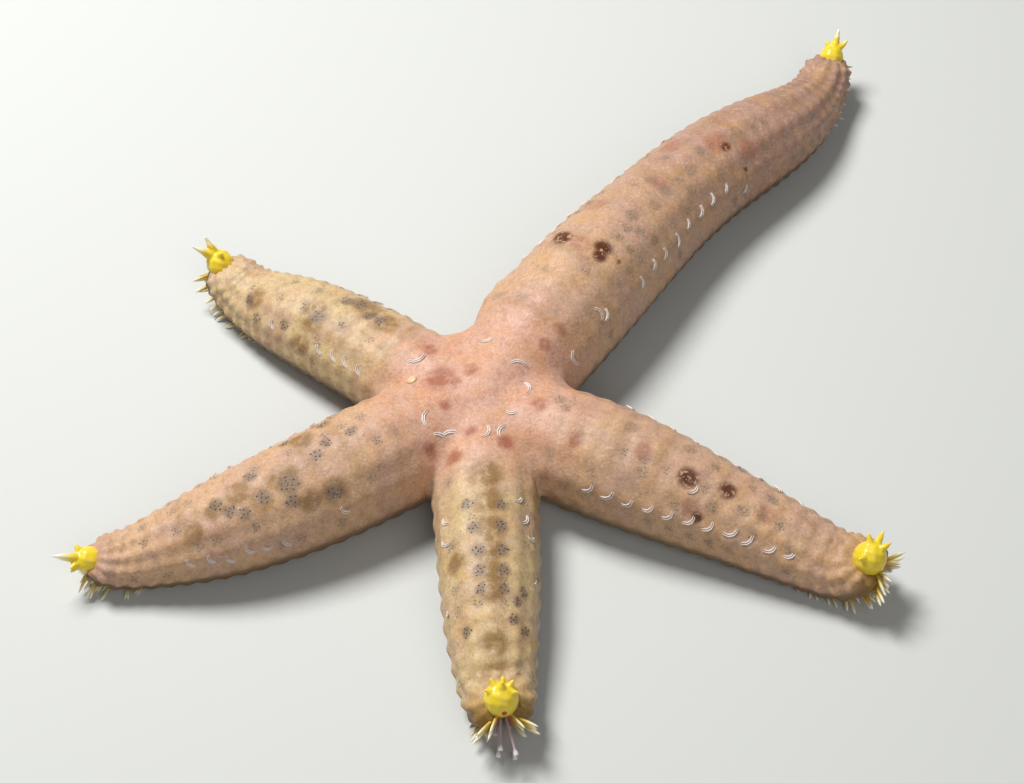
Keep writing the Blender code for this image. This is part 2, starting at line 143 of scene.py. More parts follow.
def smooth_values(values, fractions):
    """Values at fractions of the way along evenly spaced ones, on a smooth curve."""
    values = np.asarray(values, float)
    last = len(values) - 1
    place = np.clip(fractions, 0, 1) * last
    index = np.minimum(place.astype(int), last - 1)
    f = place - index
    before = values[np.maximum(index - 1, 0)]
    start = values[index]
    end = values[index + 1]
    after = values[np.minimum(index + 2, last)]
    cubic = -before / 2 + 1.5 * start - 1.5 * end + after / 2
    square = before - 2.5 * start + 2 * end - after / 2
    return start + f * ((end - before) / 2 + f * (square + f * cubic))


def smooth_step(low, high, value):
    part = np.clip((value - low) / (high - low), 0, 1)
    return part * part * (3 - 2 * part)


def unit(vectors):
    return vectors / np.linalg.norm(vectors, axis=-1, keepdims=True)


class ArmLine:
    """The axis of one arm, sampled finely, with its directions and radius."""

    def __init__(self, name, arm, centre):
        self.name = name
        self.arm = arm
        steps = int(arm.length / LINE_STEP) + LINE_BEYOND
        self.along = np.arange(-LINE_BEFORE, steps) * LINE_STEP
        self.forward, self.left, self.up = self.directions(self.along)
        halfway = self.directions(self.along[:-1] + LINE_STEP / 2)[0] * LINE_STEP
        path = np.vstack([np.zeros(3), np.cumsum(halfway, axis=0)])
        self.radius = self.radius_at(self.along)
        self.centre = path - path[LINE_BEFORE] + centre
        self.centre[:, 2] += self.radius * AXIS_HEIGHT
        shrink = 1 - 0.35 * np.clip(self.along / arm.length, 0, 1) ** 2
        self.plates = np.cumsum(LINE_STEP / (arm.plate_pitch * shrink))

    def directions(self, along):
        heading = np.radians(smooth_values(self.arm.headings, along / self.arm.length))
        pitch = self.curl_at(along)
        cosine, sine, level = np.cos(heading), np.sin(heading), np.cos(pitch)
        forward = np.stack([cosine * level, sine * level, np.sin(pitch)], -1)
        left = np.stack([-sine, cosine, np.zeros_like(heading)], -1)
        return forward, left, np.cross(forward, left)

    def curl_at(self, along):
        start = self.arm.length - self.arm.curl_length
        return math.radians(self.arm.curl) * smooth_step(start, self.arm.length, along)

    def radius_at(self, along):
        end_radius = self.arm.radii[-1] * MM
        rounding = np.clip(1 - (self.arm.length - along) / end_radius, 0, 1)
        share = np.sqrt(1 - (1 - END_SHARE**2) * rounding**2)
        return smooth_values(self.arm.radii, along / self.arm.length) * MM * share

    def read(self, values, along):
        """The values of the line at these lengths."""
        if values.ndim == 1:
            return np.interp(along, self.along, values)
        return np.stack([np.interp(along, self.along, column) for column in values.T], -1)

    def section_point(self, along, to_left, upward):
        """Points this far left of and above the axis."""
        along = np.asarray(along, float)
        to_left = np.asarray(to_left, float)[..., None]
        upward = np.asarray(upward, float)[..., None]
        centre = self.read(self.centre, along)
        return centre + self.read(self.left, along) * to_left + self.read(self.up, along) * upward

    def surface_point(self, along, turn, rise=0.0):
        """Points on the arm's round surface, turned about the axis from its top."""
        reach = self.read(self.radius, along) + rise
        return self.section_point(along, reach * np.sin(turn), reach * np.cos(turn))

    def outward(self, along, turn):
        sine = np.sin(turn)[..., None]
        cosine = np.cos(turn)[..., None]
        return self.read(self.left, along) * sine + self.read(self.up, along) * cosine


def disc_centre():
    """The disc's centre on the floor, over which the solid mouth lies."""
    low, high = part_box("mouth")
    middle = (low + high) / 2
    return np.array([middle.x, middle.y, 0.0])


CENTRE = disc_centre()
LINES = [ArmLine(name, arm, CENTRE) for name, arm in ARMS.items()]


def arm_coordinates(points):
    """For each point: its nearest arm, the length along it and the turn about it."""
    count = len(points)
    best = np.full(count, np.inf)
    which = np.zeros(count, int)
    along = np.zeros(count)
    turn = np.zeros(count)
    for number, line in enumerate(LINES):
        nearest = np.zeros(count, int)
        for start in range(0, count, 8000):
            chunk = points[start : start + 8000]
            squares = (chunk**2).sum(1)[:, None] - 2 * chunk @ line.centre.T + (line.centre**2).sum(1)
            nearest[start : start + 8000] = squares.argmin(1)
        away = points - line.centre[nearest]
        length = line.along[nearest] + (away * line.forward[nearest]).sum(1)
        to_left = (away * line.left[nearest]).sum(1)
        upward = (away * line.up[nearest]).sum(1)
        reach = np.hypot(to_left, upward)
        share = reach / line.radius[nearest] + np.maximum(-length, 0) / (2 * MM)
        closer = share < best
        best = np.where(closer, share, best)
        which = np.where(closer, number, which)
        along = np.where(closer, length, along)
        turn = np.where(closer, np.arctan2(to_left, upward), turn)
    return which, along, turn


# Meshes


def deselect():
    bpy.ops.object.select_all(action="DESELECT")


def mesh_object(name, points, faces, material=None):
    data = bpy.data.meshes.new(name)
    data.from_pydata(np.asarray(points).tolist(), [], faces)
    data.update()
    made = bpy.data.objects.new(name, data)
    bpy.context.scene.collection.objects.link(made)
    if material:
        data.materials.append(material)
    return made


def choose(piece, mode="OBJECT"):
    """Makes the piece the only selected one, in this mode."""
    deselect()
    piece.select_set(True)
    bpy.context.view_layer.objects.active = piece
    bpy.ops.object.mode_set(mode=mode)


def smooth_shaded(piece):
    choose(piece)
    bpy.ops.object.shade_smooth_by_angle(angle=math.pi)


def apply_modifier(piece, kind, **settings):
    choose(piece)
    modifier = piece.modifiers.new(kind.lower(), kind)
    for name, value in settings.items():
        setattr(modifier, name, value)
    bpy.ops.object.modifier_apply(modifier=modifier.name)


def join(pieces):
    deselect()
    for piece in pieces:
        piece.select_set(True)
    bpy.context.view_layer.objects.active = pieces[0]
    bpy.ops.object.join()
    return pieces[0]


def turned(name, profile, sides):
    """A round piece raised ring by ring from a disc: pairs of radius and height."""
    deselect()
    radius, height = profile[0]
    bpy.ops.mesh.primitive_circle_add(
        vertices=sides, radius=radius, fill_type="NGON", location=(0, 0, height)
    )
    piece = bpy.context.object
    piece.name = name
    bpy.ops.object.transform_apply(location=True, rotation=False, scale=False)
    bpy.ops.object.mode_set(mode="EDIT")
    for next_radius, next_height in profile[1:]:
        share = next_radius / radius
        bpy.ops.mesh.extrude_region_move(TRANSFORM_OT_translate={"value": (0, 0, next_height - height)})
        bpy.ops.transform.resize(value=(share, share, 1), center_override=(0, 0, next_height))
        radius, height = next_radius, next_height
    bpy.ops.mesh.select_all(action="SELECT")
    bpy.ops.mesh.normals_make_consistent(inside=False)
    bpy.ops.object.mode_set(mode="OBJECT")
    return piece


def pattern_of(piece):
    """The piece's points and faces, with the piece itself removed."""
    points = np.array([vertex.co for vertex in piece.data.vertices])
    faces = [list(face.vertices) for face in piece.data.polygons]
    bpy.data.objects.remove(piece)
    return points, faces


def scaled(directions, sizes):
    """For each copy its x, y and z axis, as long as the sizes say."""
    return np.stack([way * np.reshape(size, (-1, 1)) for way, size in zip(directions, sizes)], 1)


def copies(name, pattern, parts, material):
    """One mesh of copies of a pattern.

    Each part holds some copies' origins, their x, y and z axes, and their bends: how far x and
    y shift at z = 1, growing with the square of z.
    """
    points, faces = pattern
    origins, axes, bends = (np.concatenate(values) for values in zip(*parts))
    count = len(points)
    local = np.repeat(points[None], len(origins), axis=0)
    squares = points[:, 2] ** 2
    offset = bends[:, None, :] * squares[None, :, None]
    placed = np.einsum("knj,kji->kni", local, axes) + origins[:, None]
    directions = unit(axes)
    placed += offset[..., 0:1] * directions[:, None, 0] + offset[..., 1:2] * directions[:, None, 1]
    placed[..., 2] = np.maximum(placed[..., 2], ABOVE_FLOOR)
    all_faces = []
    for index in range(len(origins)):
        all_faces += [[corner + index * count for corner in face] for face in faces]
    made = mesh_object(name, placed.reshape(-1, 3), all_faces, material)
    heights = np.tile((points[:, 2] - points[:, 2].min()) / np.ptp(points[:, 2]), len(origins))
    add_attribute(made, "height", heights)
    made.data.shade_smooth()
    return made


def add_attribute(piece, name, values):
    attribute = piece.data.attributes.new(name, "FLOAT", "POINT")
    attribute.data.foreach_set("value", np.asarray(values, np.float32))


def side_axes(forward, normal):
    """Axes with z along forward, y as near the normal as can be, and x across both."""
    z = unit(forward)
    x = unit(np.cross(normal, z))
    y = np.cross(z, x)
    return x, y, z


# Materials


def add_node(tree, kind, settings, inputs):
    """Adds a node, with its settings, and with its inputs set or linked."""
    made = tree.nodes.new(kind)
    for name, value in settings.items():
        setattr(made, name, value)
    for key, value in inputs.items():
        socket = made.inputs[key]
        if isinstance(value, bpy.types.NodeSocket):
            tree.links.new(value, socket)
        else:
            socket.default_value = value
    return made


def new_material(name):
    """A material with its tree and its shader."""
    material = bpy.data.materials.new(name)
    material.use_nodes = True
    tree = material.node_tree
    return material, tree, tree.nodes["Principled BSDF"]


def opaque(colour):
    return (*colour, 1.0)


MIX = {"data_type": "RGBA"}


def skin_material(context):
    """Living epidermis over granulated plates: moist, satin, a little light passing through."""
    colours = context.scene.sea_star_colours
    body = context.scene.sea_star_body
    material, tree, shader = new_material("living_granular_skin")
    place = add_node(tree, "ShaderNodeTexCoord", {}, {}).outputs["Object"]
    plain = (-1.0, 0.0)
    layers = (
        ("pale", 1.0, 1.0, plain, colours.cream),
        ("brown", 1.0, 1.0, plain, linear("#A8826C")),
        ("cover", 0.45, 6.0, (0.44, 0.62), linear("#B9948A")),
        ("cover", 0.4, 3.6, (0.5, 0.66), linear("#C9995F")),
        ("disc", 1.0, 1.0, plain, colours.rose),
        ("disc", 0.55, 3.4, (0.46, 0.62), linear("#CF9263")),
        ("disc", 0.3, 2.4, (0.52, 0.66), linear("#B98880")),
        ("cover", 0.4, 0.8, (0.5, 0.66), linear("#A67C66")),
        ("cover", 0.3, 0.5, (0.54, 0.68), linear("#E2C6A6")),
        ("patch", 0.9, 1.4, (0.2, 0.55), linear("#9E5E46")),
        ("blotch", 0.9, 1.3, (0.2, 0.55), colours.ochre),
        ("papular", 0.9, 0.9, (0.15, 0.5), colours.grey),
        ("spot", 1.0, 0.7, (0.31, 0.45), colours.umber),
        # Painted shade: the arms' lower sides darkened to olive-brown, where they turn away from the light
        ("low", 0.9, 2.0, (0.0, 0.4), linear("#634A2A")),
        ("tip", 0.6, 1.2, (0.1, 0.5), linear("#A47C30")),
        ("groove", 1.0, 1.0, plain, linear("#A9642C")),
    )
    colour = opaque(colours.tan)
    for attribute, strength, size, (low, high), tint in layers:
        cover = add_node(tree, "ShaderNodeAttribute", {"attribute_name": attribute}, {}).outputs["Fac"]
        noise = add_node(
            tree, "ShaderNodeTexNoise", {}, {"Vector": place, "Scale": 1 / (size * MM), "Detail": 3.0}
        ).outputs["Fac"]
        ragged = add_node(
            tree,
            "ShaderNodeMapRange",
            {},
            {"Value": noise, "From Min": low, "From Max": high, "To Max": strength},
        ).outputs["Result"]
        factor = add_node(
            tree, "ShaderNodeMath", {"operation": "MULTIPLY"}, {0: cover, 1: ragged}
        ).outputs[0]
        colour = add_node(tree, "ShaderNodeMix", MIX, {0: factor, 6: colour, 7: opaque(tint)}).outputs[2]
    granules = add_node(
        tree, "ShaderNodeTexVoronoi", {"feature": "F1"}, {"Vector": place, "Scale": 1 / body.granule}
    ).outputs["Distance"]
    # Painted shade: the colour a little lighter on each granule and darker in the hollows between granules
    painted_granule_shade = add_node(
        tree,
        "ShaderNodeMapRange",
        {},
        {"Value": granules, "From Min": 0.15, "From Max": 0.75, "To Min": 1.06, "To Max": 0.9},
    ).outputs["Result"]
    colour = add_node(
        tree, "ShaderNodeVectorMath", {"operation": "SCALE"}, {0: colour, "Scale": painted_granule_shade}
    ).outputs["Vector"]
    swells = add_node(
        tree, "ShaderNodeTexNoise", {}, {"Vector": place, "Scale": 1 / (1.4 * MM), "Detail": 2.0}
    ).outputs["Fac"]
    heights = add_node(
        tree, "ShaderNodeMath", {"operation": "MULTIPLY_ADD"}, {0: granules, 1: -0.4, 2: swells}
    ).outputs[0]
    bump = add_node(tree, "ShaderNodeBump", {}, {"Height": heights, "Distance": 0.12 * MM, "Strength": 0.6})
    wetness = add_node(
        tree,
        "ShaderNodeMapRange",
        {},
        {"Value": swells, "From Min": 0.3, "From Max": 0.7, "To Min": 0.45, "To Max": 0.6},
    ).outputs["Result"]
    tree.links.new(colour, shader.inputs["Base Color"])
    tree.links.new(bump.outputs["Normal"], shader.inputs["Normal"])
    tree.links.new(wetness, shader.inputs["Roughness"])
    shader.inputs["Subsurface Weight"].default_value = 0.12
    shader.inputs["Subsurface Radius"].default_value = (1.0, 0.45, 0.25)
    shader.inputs["Subsurface Scale"].default_value = 0.7 * MM
    shader.inputs["IOR"].default_value = 1.4
    return material


DEEPER = 0.78  # how dark the darker parts of a tipped growth are, as a share of its colour


def tipped_material(name, base, tip, start, roughness, context, subsurface=0.2):
    """Calcite under thin skin: the colour of the skin at the root, white and glassy at the tip."""
    material, tree, shader = new_material(name)
    height = add_node(tree, "ShaderNodeAttribute", {"attribute_name": "height"}, {}).outputs["Fac"]
    place = add_node(tree, "ShaderNodeTexCoord", {}, {}).outputs["Object"]
    noise = add_node(
        tree, "ShaderNodeTexNoise", {}, {"Vector": place, "Scale": 1 / (0.8 * MM), "Detail": 3.0}
    ).outputs["Fac"]
    deeper = opaque([channel * DEEPER for channel in base])
    share = add_node(
        tree, "ShaderNodeMapRange", {}, {"Value": height, "From Min": start, "From Max": 1.0}
    ).outputs["Result"]
    body = add_node(tree, "ShaderNodeMix", MIX, {0: noise, 6: opaque(base), 7: deeper}).outputs[2]
    colour = add_node(tree, "ShaderNodeMix", MIX, {0: share, 6: body, 7: opaque(tip)}).outputs[2]
    bump = add_node(
        tree, "ShaderNodeBump", {}, {"Height": noise, "Distance": 0.05 * MM, "Strength": 0.5}
    )
    tree.links.new(colour, shader.inputs["Base Color"])
    tree.links.new(bump.outputs["Normal"], shader.inputs["Normal"])
    shader.inputs["Roughness"].default_value = roughness
    shader.inputs["Subsurface Weight"].default_value = subsurface
    shader.inputs["Subsurface Radius"].default_value = (1.0, 0.8, 0.4)
    shader.inputs["Subsurface Scale"].default_value = 0.6 * MM
    return material


# The skin


PLATE_ROWS = (0, 33, 63, 92, 120)
ROW_HEIGHTS = (0.7, 0.75, 0.9, 1.2, 0.9)
PORE_ROWS = (17, 48, 78, 106)
PLATE_COUNT = 60  # more than any arm has
RIDGE_WIDTH = 10  # degrees, of a row of plates
PORE_ROW_WIDTH = 8.5
UNDERSIDE_ROWS = 50  # degrees from the top, beyond which a row's plates are shifted by half
DISC_BLEND = (8 * MM, 15 * MM)  # where the arms' relief and markings fade in
ROSE_EDGE = (9 * MM, 20 * MM)
SMOOTHED_REACH = (11 * MM, 17 * MM)
SMOOTHED_HEIGHT = (5 * MM, 10 * MM)
SKIN_FLOOR = 0.12 * MM
PALE_ARMS = ("rear_left", "front")
STAINED_TIPS = ("right", "front")  # their ends are olive-yellow
FOLD_UNIT = 0.34 * MM  # the plate rise that the folds' heights are measured against


def section(radius):
    """The arm's cross-section: a circle cut flat by the floor, with its furrow."""
    turns = np.linspace(-OUTER_SPAN, OUTER_SPAN, 49)
    points = [(math.sin(turn), math.cos(turn)) for turn in turns]
    floor = -AXIS_HEIGHT
    edge = math.sin(OUTER_SPAN)
    lip = FURROW_HALF_WIDTH
    for share in (1 / 3, 2 / 3, 1):
        points.append((edge + (lip - edge) * share, floor))
    for share in (1 / 3, 2 / 3, 1):
        points.append((lip * (1 - share), floor + FURROW_DEPTH * share))
    for share in (1 / 3, 2 / 3, 1):
        points.append((-lip * share, floor + FURROW_DEPTH * (1 - share)))
    for share in (1 / 3, 2 / 3):
        points.append((-lip + (lip - edge) * share, floor))
    return np.array(points) * radius


def tube(line):
    """One arm as a closed tube, from within the disc to its end."""
    stations = np.arange(-2 * MM, line.arm.length, 0.5 * MM)
    stations = np.append(stations, line.arm.length)
    rings = []
    for along in stations:
        outline = section(float(line.read(line.radius, along)))
        rings.append(line.section_point(np.full(len(outline), along), outline[:, 0], outline[:, 1]))
    count = len(rings[0])
    points = np.concatenate(rings)
    faces = [list(range(count))]
    for ring in range(len(rings) - 1):
        for index in range(count):
            after = (index + 1) % count
            low = ring * count
            faces.append([low + index, low + index + count, low + after + count, low + after])
    faces.append(list(range(len(points) - 1, len(points) - count - 1, -1)))
    return mesh_object(f"tube_{line.name}", points, faces)


def cushion():
    """The plump middle of the disc."""
    middle = CUSHION_HEIGHT / 2
    profile = []
    for latitude in np.radians(np.arange(-84, 85, 8)):
        rise = math.copysign(abs(math.sin(latitude)) ** CUSHION_POWER, latitude)
        profile.append((CUSHION_RADIUS * math.cos(latitude) ** CUSHION_POWER, middle * (1 + rise)))
    piece = turned("cushion", profile, 64)
    piece.data.transform(Matrix.Translation(CENTRE))
    return piece


def points_of(piece):
    points = np.empty(len(piece.data.vertices) * 3)
    piece.data.vertices.foreach_get("co", points)
    return points.reshape(-1, 3)


def normals_of(piece):
    normals = np.empty(len(piece.data.vertices) * 3, np.float32)
    piece.data.vertex_normals.foreach_get("vector", normals)
    return normals.reshape(-1, 3).astype(float)


def set_points(piece, points):
    piece.data.vertices.foreach_set("co", points.ravel())
    piece.data.update()


def relaxed(piece, points, weight, passes):
    """The points drawn towards their neighbours' middle, by a weight for each."""
    ends = np.empty(len(piece.data.edges) * 2, int)
    piece.data.edges.foreach_get("vertices", ends)
    ends = ends.reshape(-1, 2)
    first = np.concatenate([ends[:, 0], ends[:, 1]])
    second = np.concatenate([ends[:, 1], ends[:, 0]])
    count = len(points)
    neighbours = np.bincount(first, minlength=count)[:, None]
    for _ in range(passes):
        sums = [np.bincount(first, column, minlength=count) for column in points[second].T]
        total = np.stack(sums, -1)
        points = points + (total / neighbours - points) * weight[:, None]
    return points


def plate_waves(line, along):
    """How many plates lie between the disc's centre and each place."""
    return line.read(line.plates, along)


def draw_table(*shape):
    return np.random.default_rng(SEED + len(shape)).random(shape)


# Marks that the animal has on each arm: millimetres along it, degrees of turn from its top to
# the left, and millimetres of size.
SPOTS = {
    "rear_right": (
        (26.5, 24, 1.6), (28.2, -13, 1.5), (26.7, -16, 1.2), (58.8, -19, 0.9), (59.6, -54, 0.4),
        (28, -32, 0.4),
    ),
    "right": ((31.8, -14, 1.6), (37.2, -6, 1.3), (34.8, -51, 0.8),),
}
PORE_AREAS = {
    "front": (
        (26.5, -12, 1.0), (26.5, 16, 1.0), (29.4, -13, 1.0), (29.4, 17, 1.0), (32, -12, 0.9),
        (32, 17, 0.9), (37.1, -37, 0.9), (37.1, 48, 0.9), (23, 15, 1.0), (23, -17, 1.0),
        (19.3, -22, 1.0), (19.9, 17, 1.0), (31.8, 44, 0.9), (33.6, 33, 0.8), (35.9, 29, 0.8),
    ),
    "left": (
        (30.2, 18, 1.5), (25.3, 3, 1.1), (33.9, 20, 1.1), (34.4, -9, 1.1), (25.2, 44, 1.2),
        (30.6, 35, 1.1), (39.8, 7, 1.0), (38.4, 21, 1.0), (36.7, 29, 1.0), (19.6, -4, 1.0),
        (23.4, -6, 1.0), (22, -35, 1.0), (28, -38, 1.0),
    ),
    "rear_left": (
        (26.7, 22, 1.2), (24.6, -18, 1.2), (22.7, -24, 1.1), (20.2, -12, 1.1), (18.3, -11, 1.1),
        (38.7, 38, 0.9), (36.1, 58, 0.8), (31.1, 49, 0.9),
    ),
}
FAINT_PORE_AREAS = {
    "rear_right": (
        (36.6, -10, 1.2), (35, -27, 1.0), (34, -16, 1.0), (36.2, 44, 1.1), (44.6, 6, 1.2),
        (50.7, -16, 1.1), (54.9, -5, 1.0), (44.5, -14, 1.2), (40.9, -19, 1.1), (47.9, -32, 1.0),
        (36.2, -43, 0.9), (31.2, -32, 0.9),
    ),
    "right": (
        (11.3, 13, 1.0), (12.7, 5, 0.9), (22, 12, 1.1), (26, -30, 1.0), (40, -22, 1.0),
        (43, 14, 0.9), (30, 22, 1.0), (36, -32, 0.9),
    ),
}
BLOTCHES = {
    "front": (
        (15.3, 0, 2.6), (19.3, 2, 2.4), (23.2, 2, 2.4), (26.4, 2, 2.3), (29.7, 2, 2.2),
        (32.2, 2, 2.0), (39.1, 0, 2.0), (27.4, -42, 1.8),
    ),
    "left": (
        (30.5, 12, 2.6), (25.2, 44, 2.0), (36.6, 3, 2.0), (25.9, -28, 2.0), (28.5, 42, 1.8),
        (34.1, 22, 1.8), (40.1, 12, 1.6), (43.5, 30, 1.5),
    ),
    "rear_left": (
        (27.2, 21, 2.6), (22.4, -27, 2.2), (20.6, -20, 2.2), (17.3, -11, 2.2), (37.9, 32, 1.8),
        (27.4, 63, 1.8),
    ),
}
ARM_PATCHES = {
    "rear_right": (
        (26.8, 5, 1.8), (58, -8, 2.2), (45, 0, 1.8), (62, -35, 2.0), (53, 28, 1.8),
        (36, 30, 1.8),
    ),
    "right": ((33.5, -45, 1.4), (25, -10, 1.4), (43, -12, 1.4),),
}
# Low folds of the body wall: the last number is how far they stand out, in millimetres.
FOLDS = {
    "rear_right": ((16, 80, 4.5, 0.7), (26, 25, 3.2, 0.4), (21, 12, 1.2, -0.3),),
    "left": ((17, 20, 4.0, 0.25),),
    "rear_left": ((17, -30, 3.0, 0.3),),
}
# On the disc: millimetres right of and beyond its centre, and for a patch also its size.
MADREPORITE = (-9.5, 1.0)
DISC_PATCHES = (
    (-5.6, 0.6, 2.6), (-1.4, 1.4, 1.2), (-3.5, -0.6, 1.2), (-7.1, 5.9, 1.2), (8.9, 5.9, 1.0),
    (11, 8.4, 1.0), (8.1, -4.4, 1.3), (3.4, -9.6, 1.3), (-3.3, -11.8, 1.3), (-6.7, -10.5, 1.0),
    (12.8, -10.1, 1.2), (-4.8, -4.4, 1.0), (-1.3, -8.2, 1.0),
)
# Where a mark ends and where it is full, as shares of its size.
MARK_EDGE = (1.25, 0.55)
PATCH_EDGE = (1.3, 0.4)
PATCH_LEAST_HEIGHT = 5 * MM
ARM_NUMBERS = {name: number for number, name in enumerate(ARMS)}


def listed(table):
    """All marks of a table, each with its arm's name before it."""
    return [(name, *mark) for name, marks in table.items() for mark in marks]


def nearness(place, mark):
    """One at the mark's middle, falling to nothing beyond its edge."""
    which, along, turn = place
    name, middle, degrees, size = mark[:4]
    line = LINES[ARM_NUMBERS[name]]
    radius = line.read(line.radius, along)
    away = np.hypot(along - middle * MM, (turn - math.radians(degrees)) * radius)
    edge, core = MARK_EDGE
    near = smooth_step(edge * size * MM, core * size * MM, away)
    return np.where(which == ARM_NUMBERS[name], near, 0.0)


def skin_fields(points):
    """The relief, the markings and the painted shade of the skin at each point."""
    which, along, turn = arm_coordinates(points)
    flat = points[:, :2] - CENTRE[:2]
    away = np.hypot(flat[:, 0], flat[:, 1])
    on_arm = smooth_step(*DISC_BLEND, away)
    degrees = np.degrees(np.abs(turn))
    side = (turn > 0).astype(int)
    count = len(points)
    names = ("relief", "blotch", "papular", "pale", "brown", "patch", "spot", "tip")
    fields = {name: np.zeros(count) for name in names}
    tints = draw_table(len(LINES), 2, len(PORE_ROWS), PLATE_COUNT)
    bands = draw_table(len(LINES), PLATE_COUNT, 3)
    for number, line in enumerate(LINES):
        here = which == number
        waves = plate_waves(line, along[here])
        plate = np.clip(waves.astype(int), 0, PLATE_COUNT - 1)
        nearest = np.clip(np.round(waves).astype(int), 0, PLATE_COUNT - 1)
        lean = degrees[here]
        share = np.clip(along[here] / line.arm.length, 0, 1)
        growth = 1 + 1.1 * share**4
        relief = np.zeros(here.sum())
        for row, height in zip(PLATE_ROWS, ROW_HEIGHTS):
            shift = 0.5 if row > UNDERSIDE_ROWS else 0.0
            crest = 0.5 + 0.5 * np.cos(2 * math.pi * (waves + shift))
            ridge = np.exp(-(((lean - row) / RIDGE_WIDTH) ** 2))
            relief += height * growth * ridge * (0.35 + 0.65 * crest)
        papular = np.zeros_like(relief)
        for index, row in enumerate(PORE_ROWS):
            strength = tints[number, side[here], index, plate] ** 2
            between = (0.5 - 0.5 * np.cos(2 * math.pi * waves)) ** 1.5
            stripe = np.exp(-(((lean - row) / PORE_ROW_WIDTH) ** 2))
            papular = np.maximum(papular, 0.8 * strength * between * stripe)
        band = smooth_step(0.5, 0.95, bands[number, nearest, 0])
        width = 18 + 26 * bands[number, nearest, 1]
        crest = np.clip(0.5 + 0.7 * np.cos(2 * math.pi * waves), 0, 1)
        fields["relief"][here] = relief - 0.35 * papular
        fields["papular"][here] = papular
        fields["blotch"][here] = 0.5 * band * crest * smooth_step(10, -10, lean - width)
        if line.name in PALE_ARMS:
            fields["pale"][here] = 1
        if line.name == "rear_right":
            fields["brown"][here] = smooth_step(0.15, 0.8, share)
        if line.name in STAINED_TIPS:
            fields["tip"][here] = smooth_step(line.arm.length - 5 * MM, line.arm.length, along[here])
    for name in ("relief", "papular", "blotch", "pale"):
        fields[name] *= on_arm
    place = (which, along, turn)
    for marks, name, strength in (
        (SPOTS, "spot", 1.0),
        (PORE_AREAS, "papular", 1.0),
        (FAINT_PORE_AREAS, "papular", 0.6),
        (BLOTCHES, "blotch", 1.0),
        (ARM_PATCHES, "patch", 0.6),
    ):
        for mark in listed(marks):
            fields[name] = np.maximum(fields[name], strength * nearness(place, mark))
    for mark in listed(FOLDS):
        fields["relief"] += nearness(place, mark) * mark[4] * MM / FOLD_UNIT
    for to_right, beyond, size in DISC_PATCHES:
        gap = np.hypot(flat[:, 0] - to_right * MM, flat[:, 1] - beyond * MM)
        edge, core = PATCH_EDGE
        near = smooth_step(edge * size * MM, core * size * MM, gap)
        fields["patch"] = np.maximum(fields["patch"], near * (points[:, 2] > PATCH_LEAST_HEIGHT))
    fields["disc"] = 1 - smooth_step(*ROSE_EDGE, away)
    # Painted shade: the arms' lower sides, from 80 degrees below the top, darkened; none on the disc
    fields["low"] = smooth_step(80, 118, degrees) * (1 - fields["disc"])
    fields["groove"] = smooth_step(143, 152, degrees)
    fields["cover"] = np.ones(count)
    return fields


def build_skin(context):
    body = context.scene.sea_star_body
    skin = join([cushion()] + [tube(line) for line in LINES])
    skin.name = "skin"
    skin.data.name = "skin"
    apply_modifier(skin, "REMESH", mode="VOXEL", voxel_size=body.grain)
    points = points_of(skin)
    away = np.hypot(points[:, 0] - CENTRE[0], points[:, 1] - CENTRE[1])
    middle = 1 - smooth_step(*SMOOTHED_REACH, away)
    top = smooth_step(*SMOOTHED_HEIGHT, points[:, 2])
    points = relaxed(skin, points, np.full(len(points), 0.5), 4)
    points = relaxed(skin, points, 0.7 * middle * top, body.fillet_passes)
    set_points(skin, points)
    fields = skin_fields(points)
    points = points + normals_of(skin) * (fields["relief"] * body.plate_rise)[:, None]
    points[:, 2] = np.maximum(points[:, 2], SKIN_FLOOR)
    set_points(skin, points)
    for name, values in fields.items():
        if name != "relief":
            add_attribute(skin, name, values)
    skin.data.materials.clear()
    skin.data.materials.append(skin_material(context))
    smooth_shaded(skin)
    return skin


def skin_surface():
    """A search tree of the skin's surface."""
    skin = bpy.data.objects["skin"]
    return BVHTree.FromObject(skin, bpy.context.evaluated_depsgraph_get())


def settle(points, surface):
    """The nearest points of the skin, and its normals there."""
    found = [surface.find_nearest(Vector(point))[:2] for point in points]
    return np.array([place for place, _ in found]), np.array([normal for _, normal in found])


# Growths


# Rows of crescents: how many, first and last place along the arm, first and last turn.
CRESCENT_ROWS = {
    "rear_left": ((4, 16.8, 23.9, 54, 59), (6, 17, 31, -57, -62)),
    "rear_right": ((8, 29.9, 54.3, -62, -58), (12, 24, 62, 60, 66)),
    "right": ((11, 20, 48, -68, -54), (9, 20, 46, 62, 58)),
    "front": ((3, 18.7, 23.6, 39, 61), (2, 20.6, 23.9, -59, -57)),
    "left": ((6, 32.8, 44.8, 77, 70), (8, 20, 42, -60, -64)),
}
LONE_CRESCENTS = {
    "right": ((33.2, -26),),
    "left": ((25.0, 67),),
    "rear_right": ((20.7, -59), (58.5, -77),),
    "rear_left": ((33.1, 58),),
    "front": ((29.5, 68), (33.5, -66),),
}
# The disc's crescents are longer and lie every way.
DISC_CRESCENTS = (
    (-7.7, -6.7), (-5.3, -8.5), (-3.9, -8.0), (1.2, -8.5), (2.6, -7.8), (4.3, -5.4), (6.7, -0.8),
    (5.3, 2.9), (0.7, 6.3), (12.9, 5.5), (-8.9, 3.9), (16.9, 12.8),
)
ROW_UNEVENNESS = 0.12  # millimetres
TURN_UNEVENNESS = 1.5  # degrees
BULGE_SWING = 45  # degrees, from straight down the arm's side towards its end
SWING_UNEVENNESS = 9
VALVE_OFFSETS = (0.16 * MM, -0.13 * MM)  # the two valves lie side by side
VALVE_SHARES = (1.0, 0.88)  # of the crescent's length
VALVE_WIDTH = 0.115 * MM
VALVE_LIFT = 0.04 * MM
VALVE_SAG = 0.3  # how far a valve's ends bend back, as a share of its length
VALVE_DROOP = 0.06 * MM


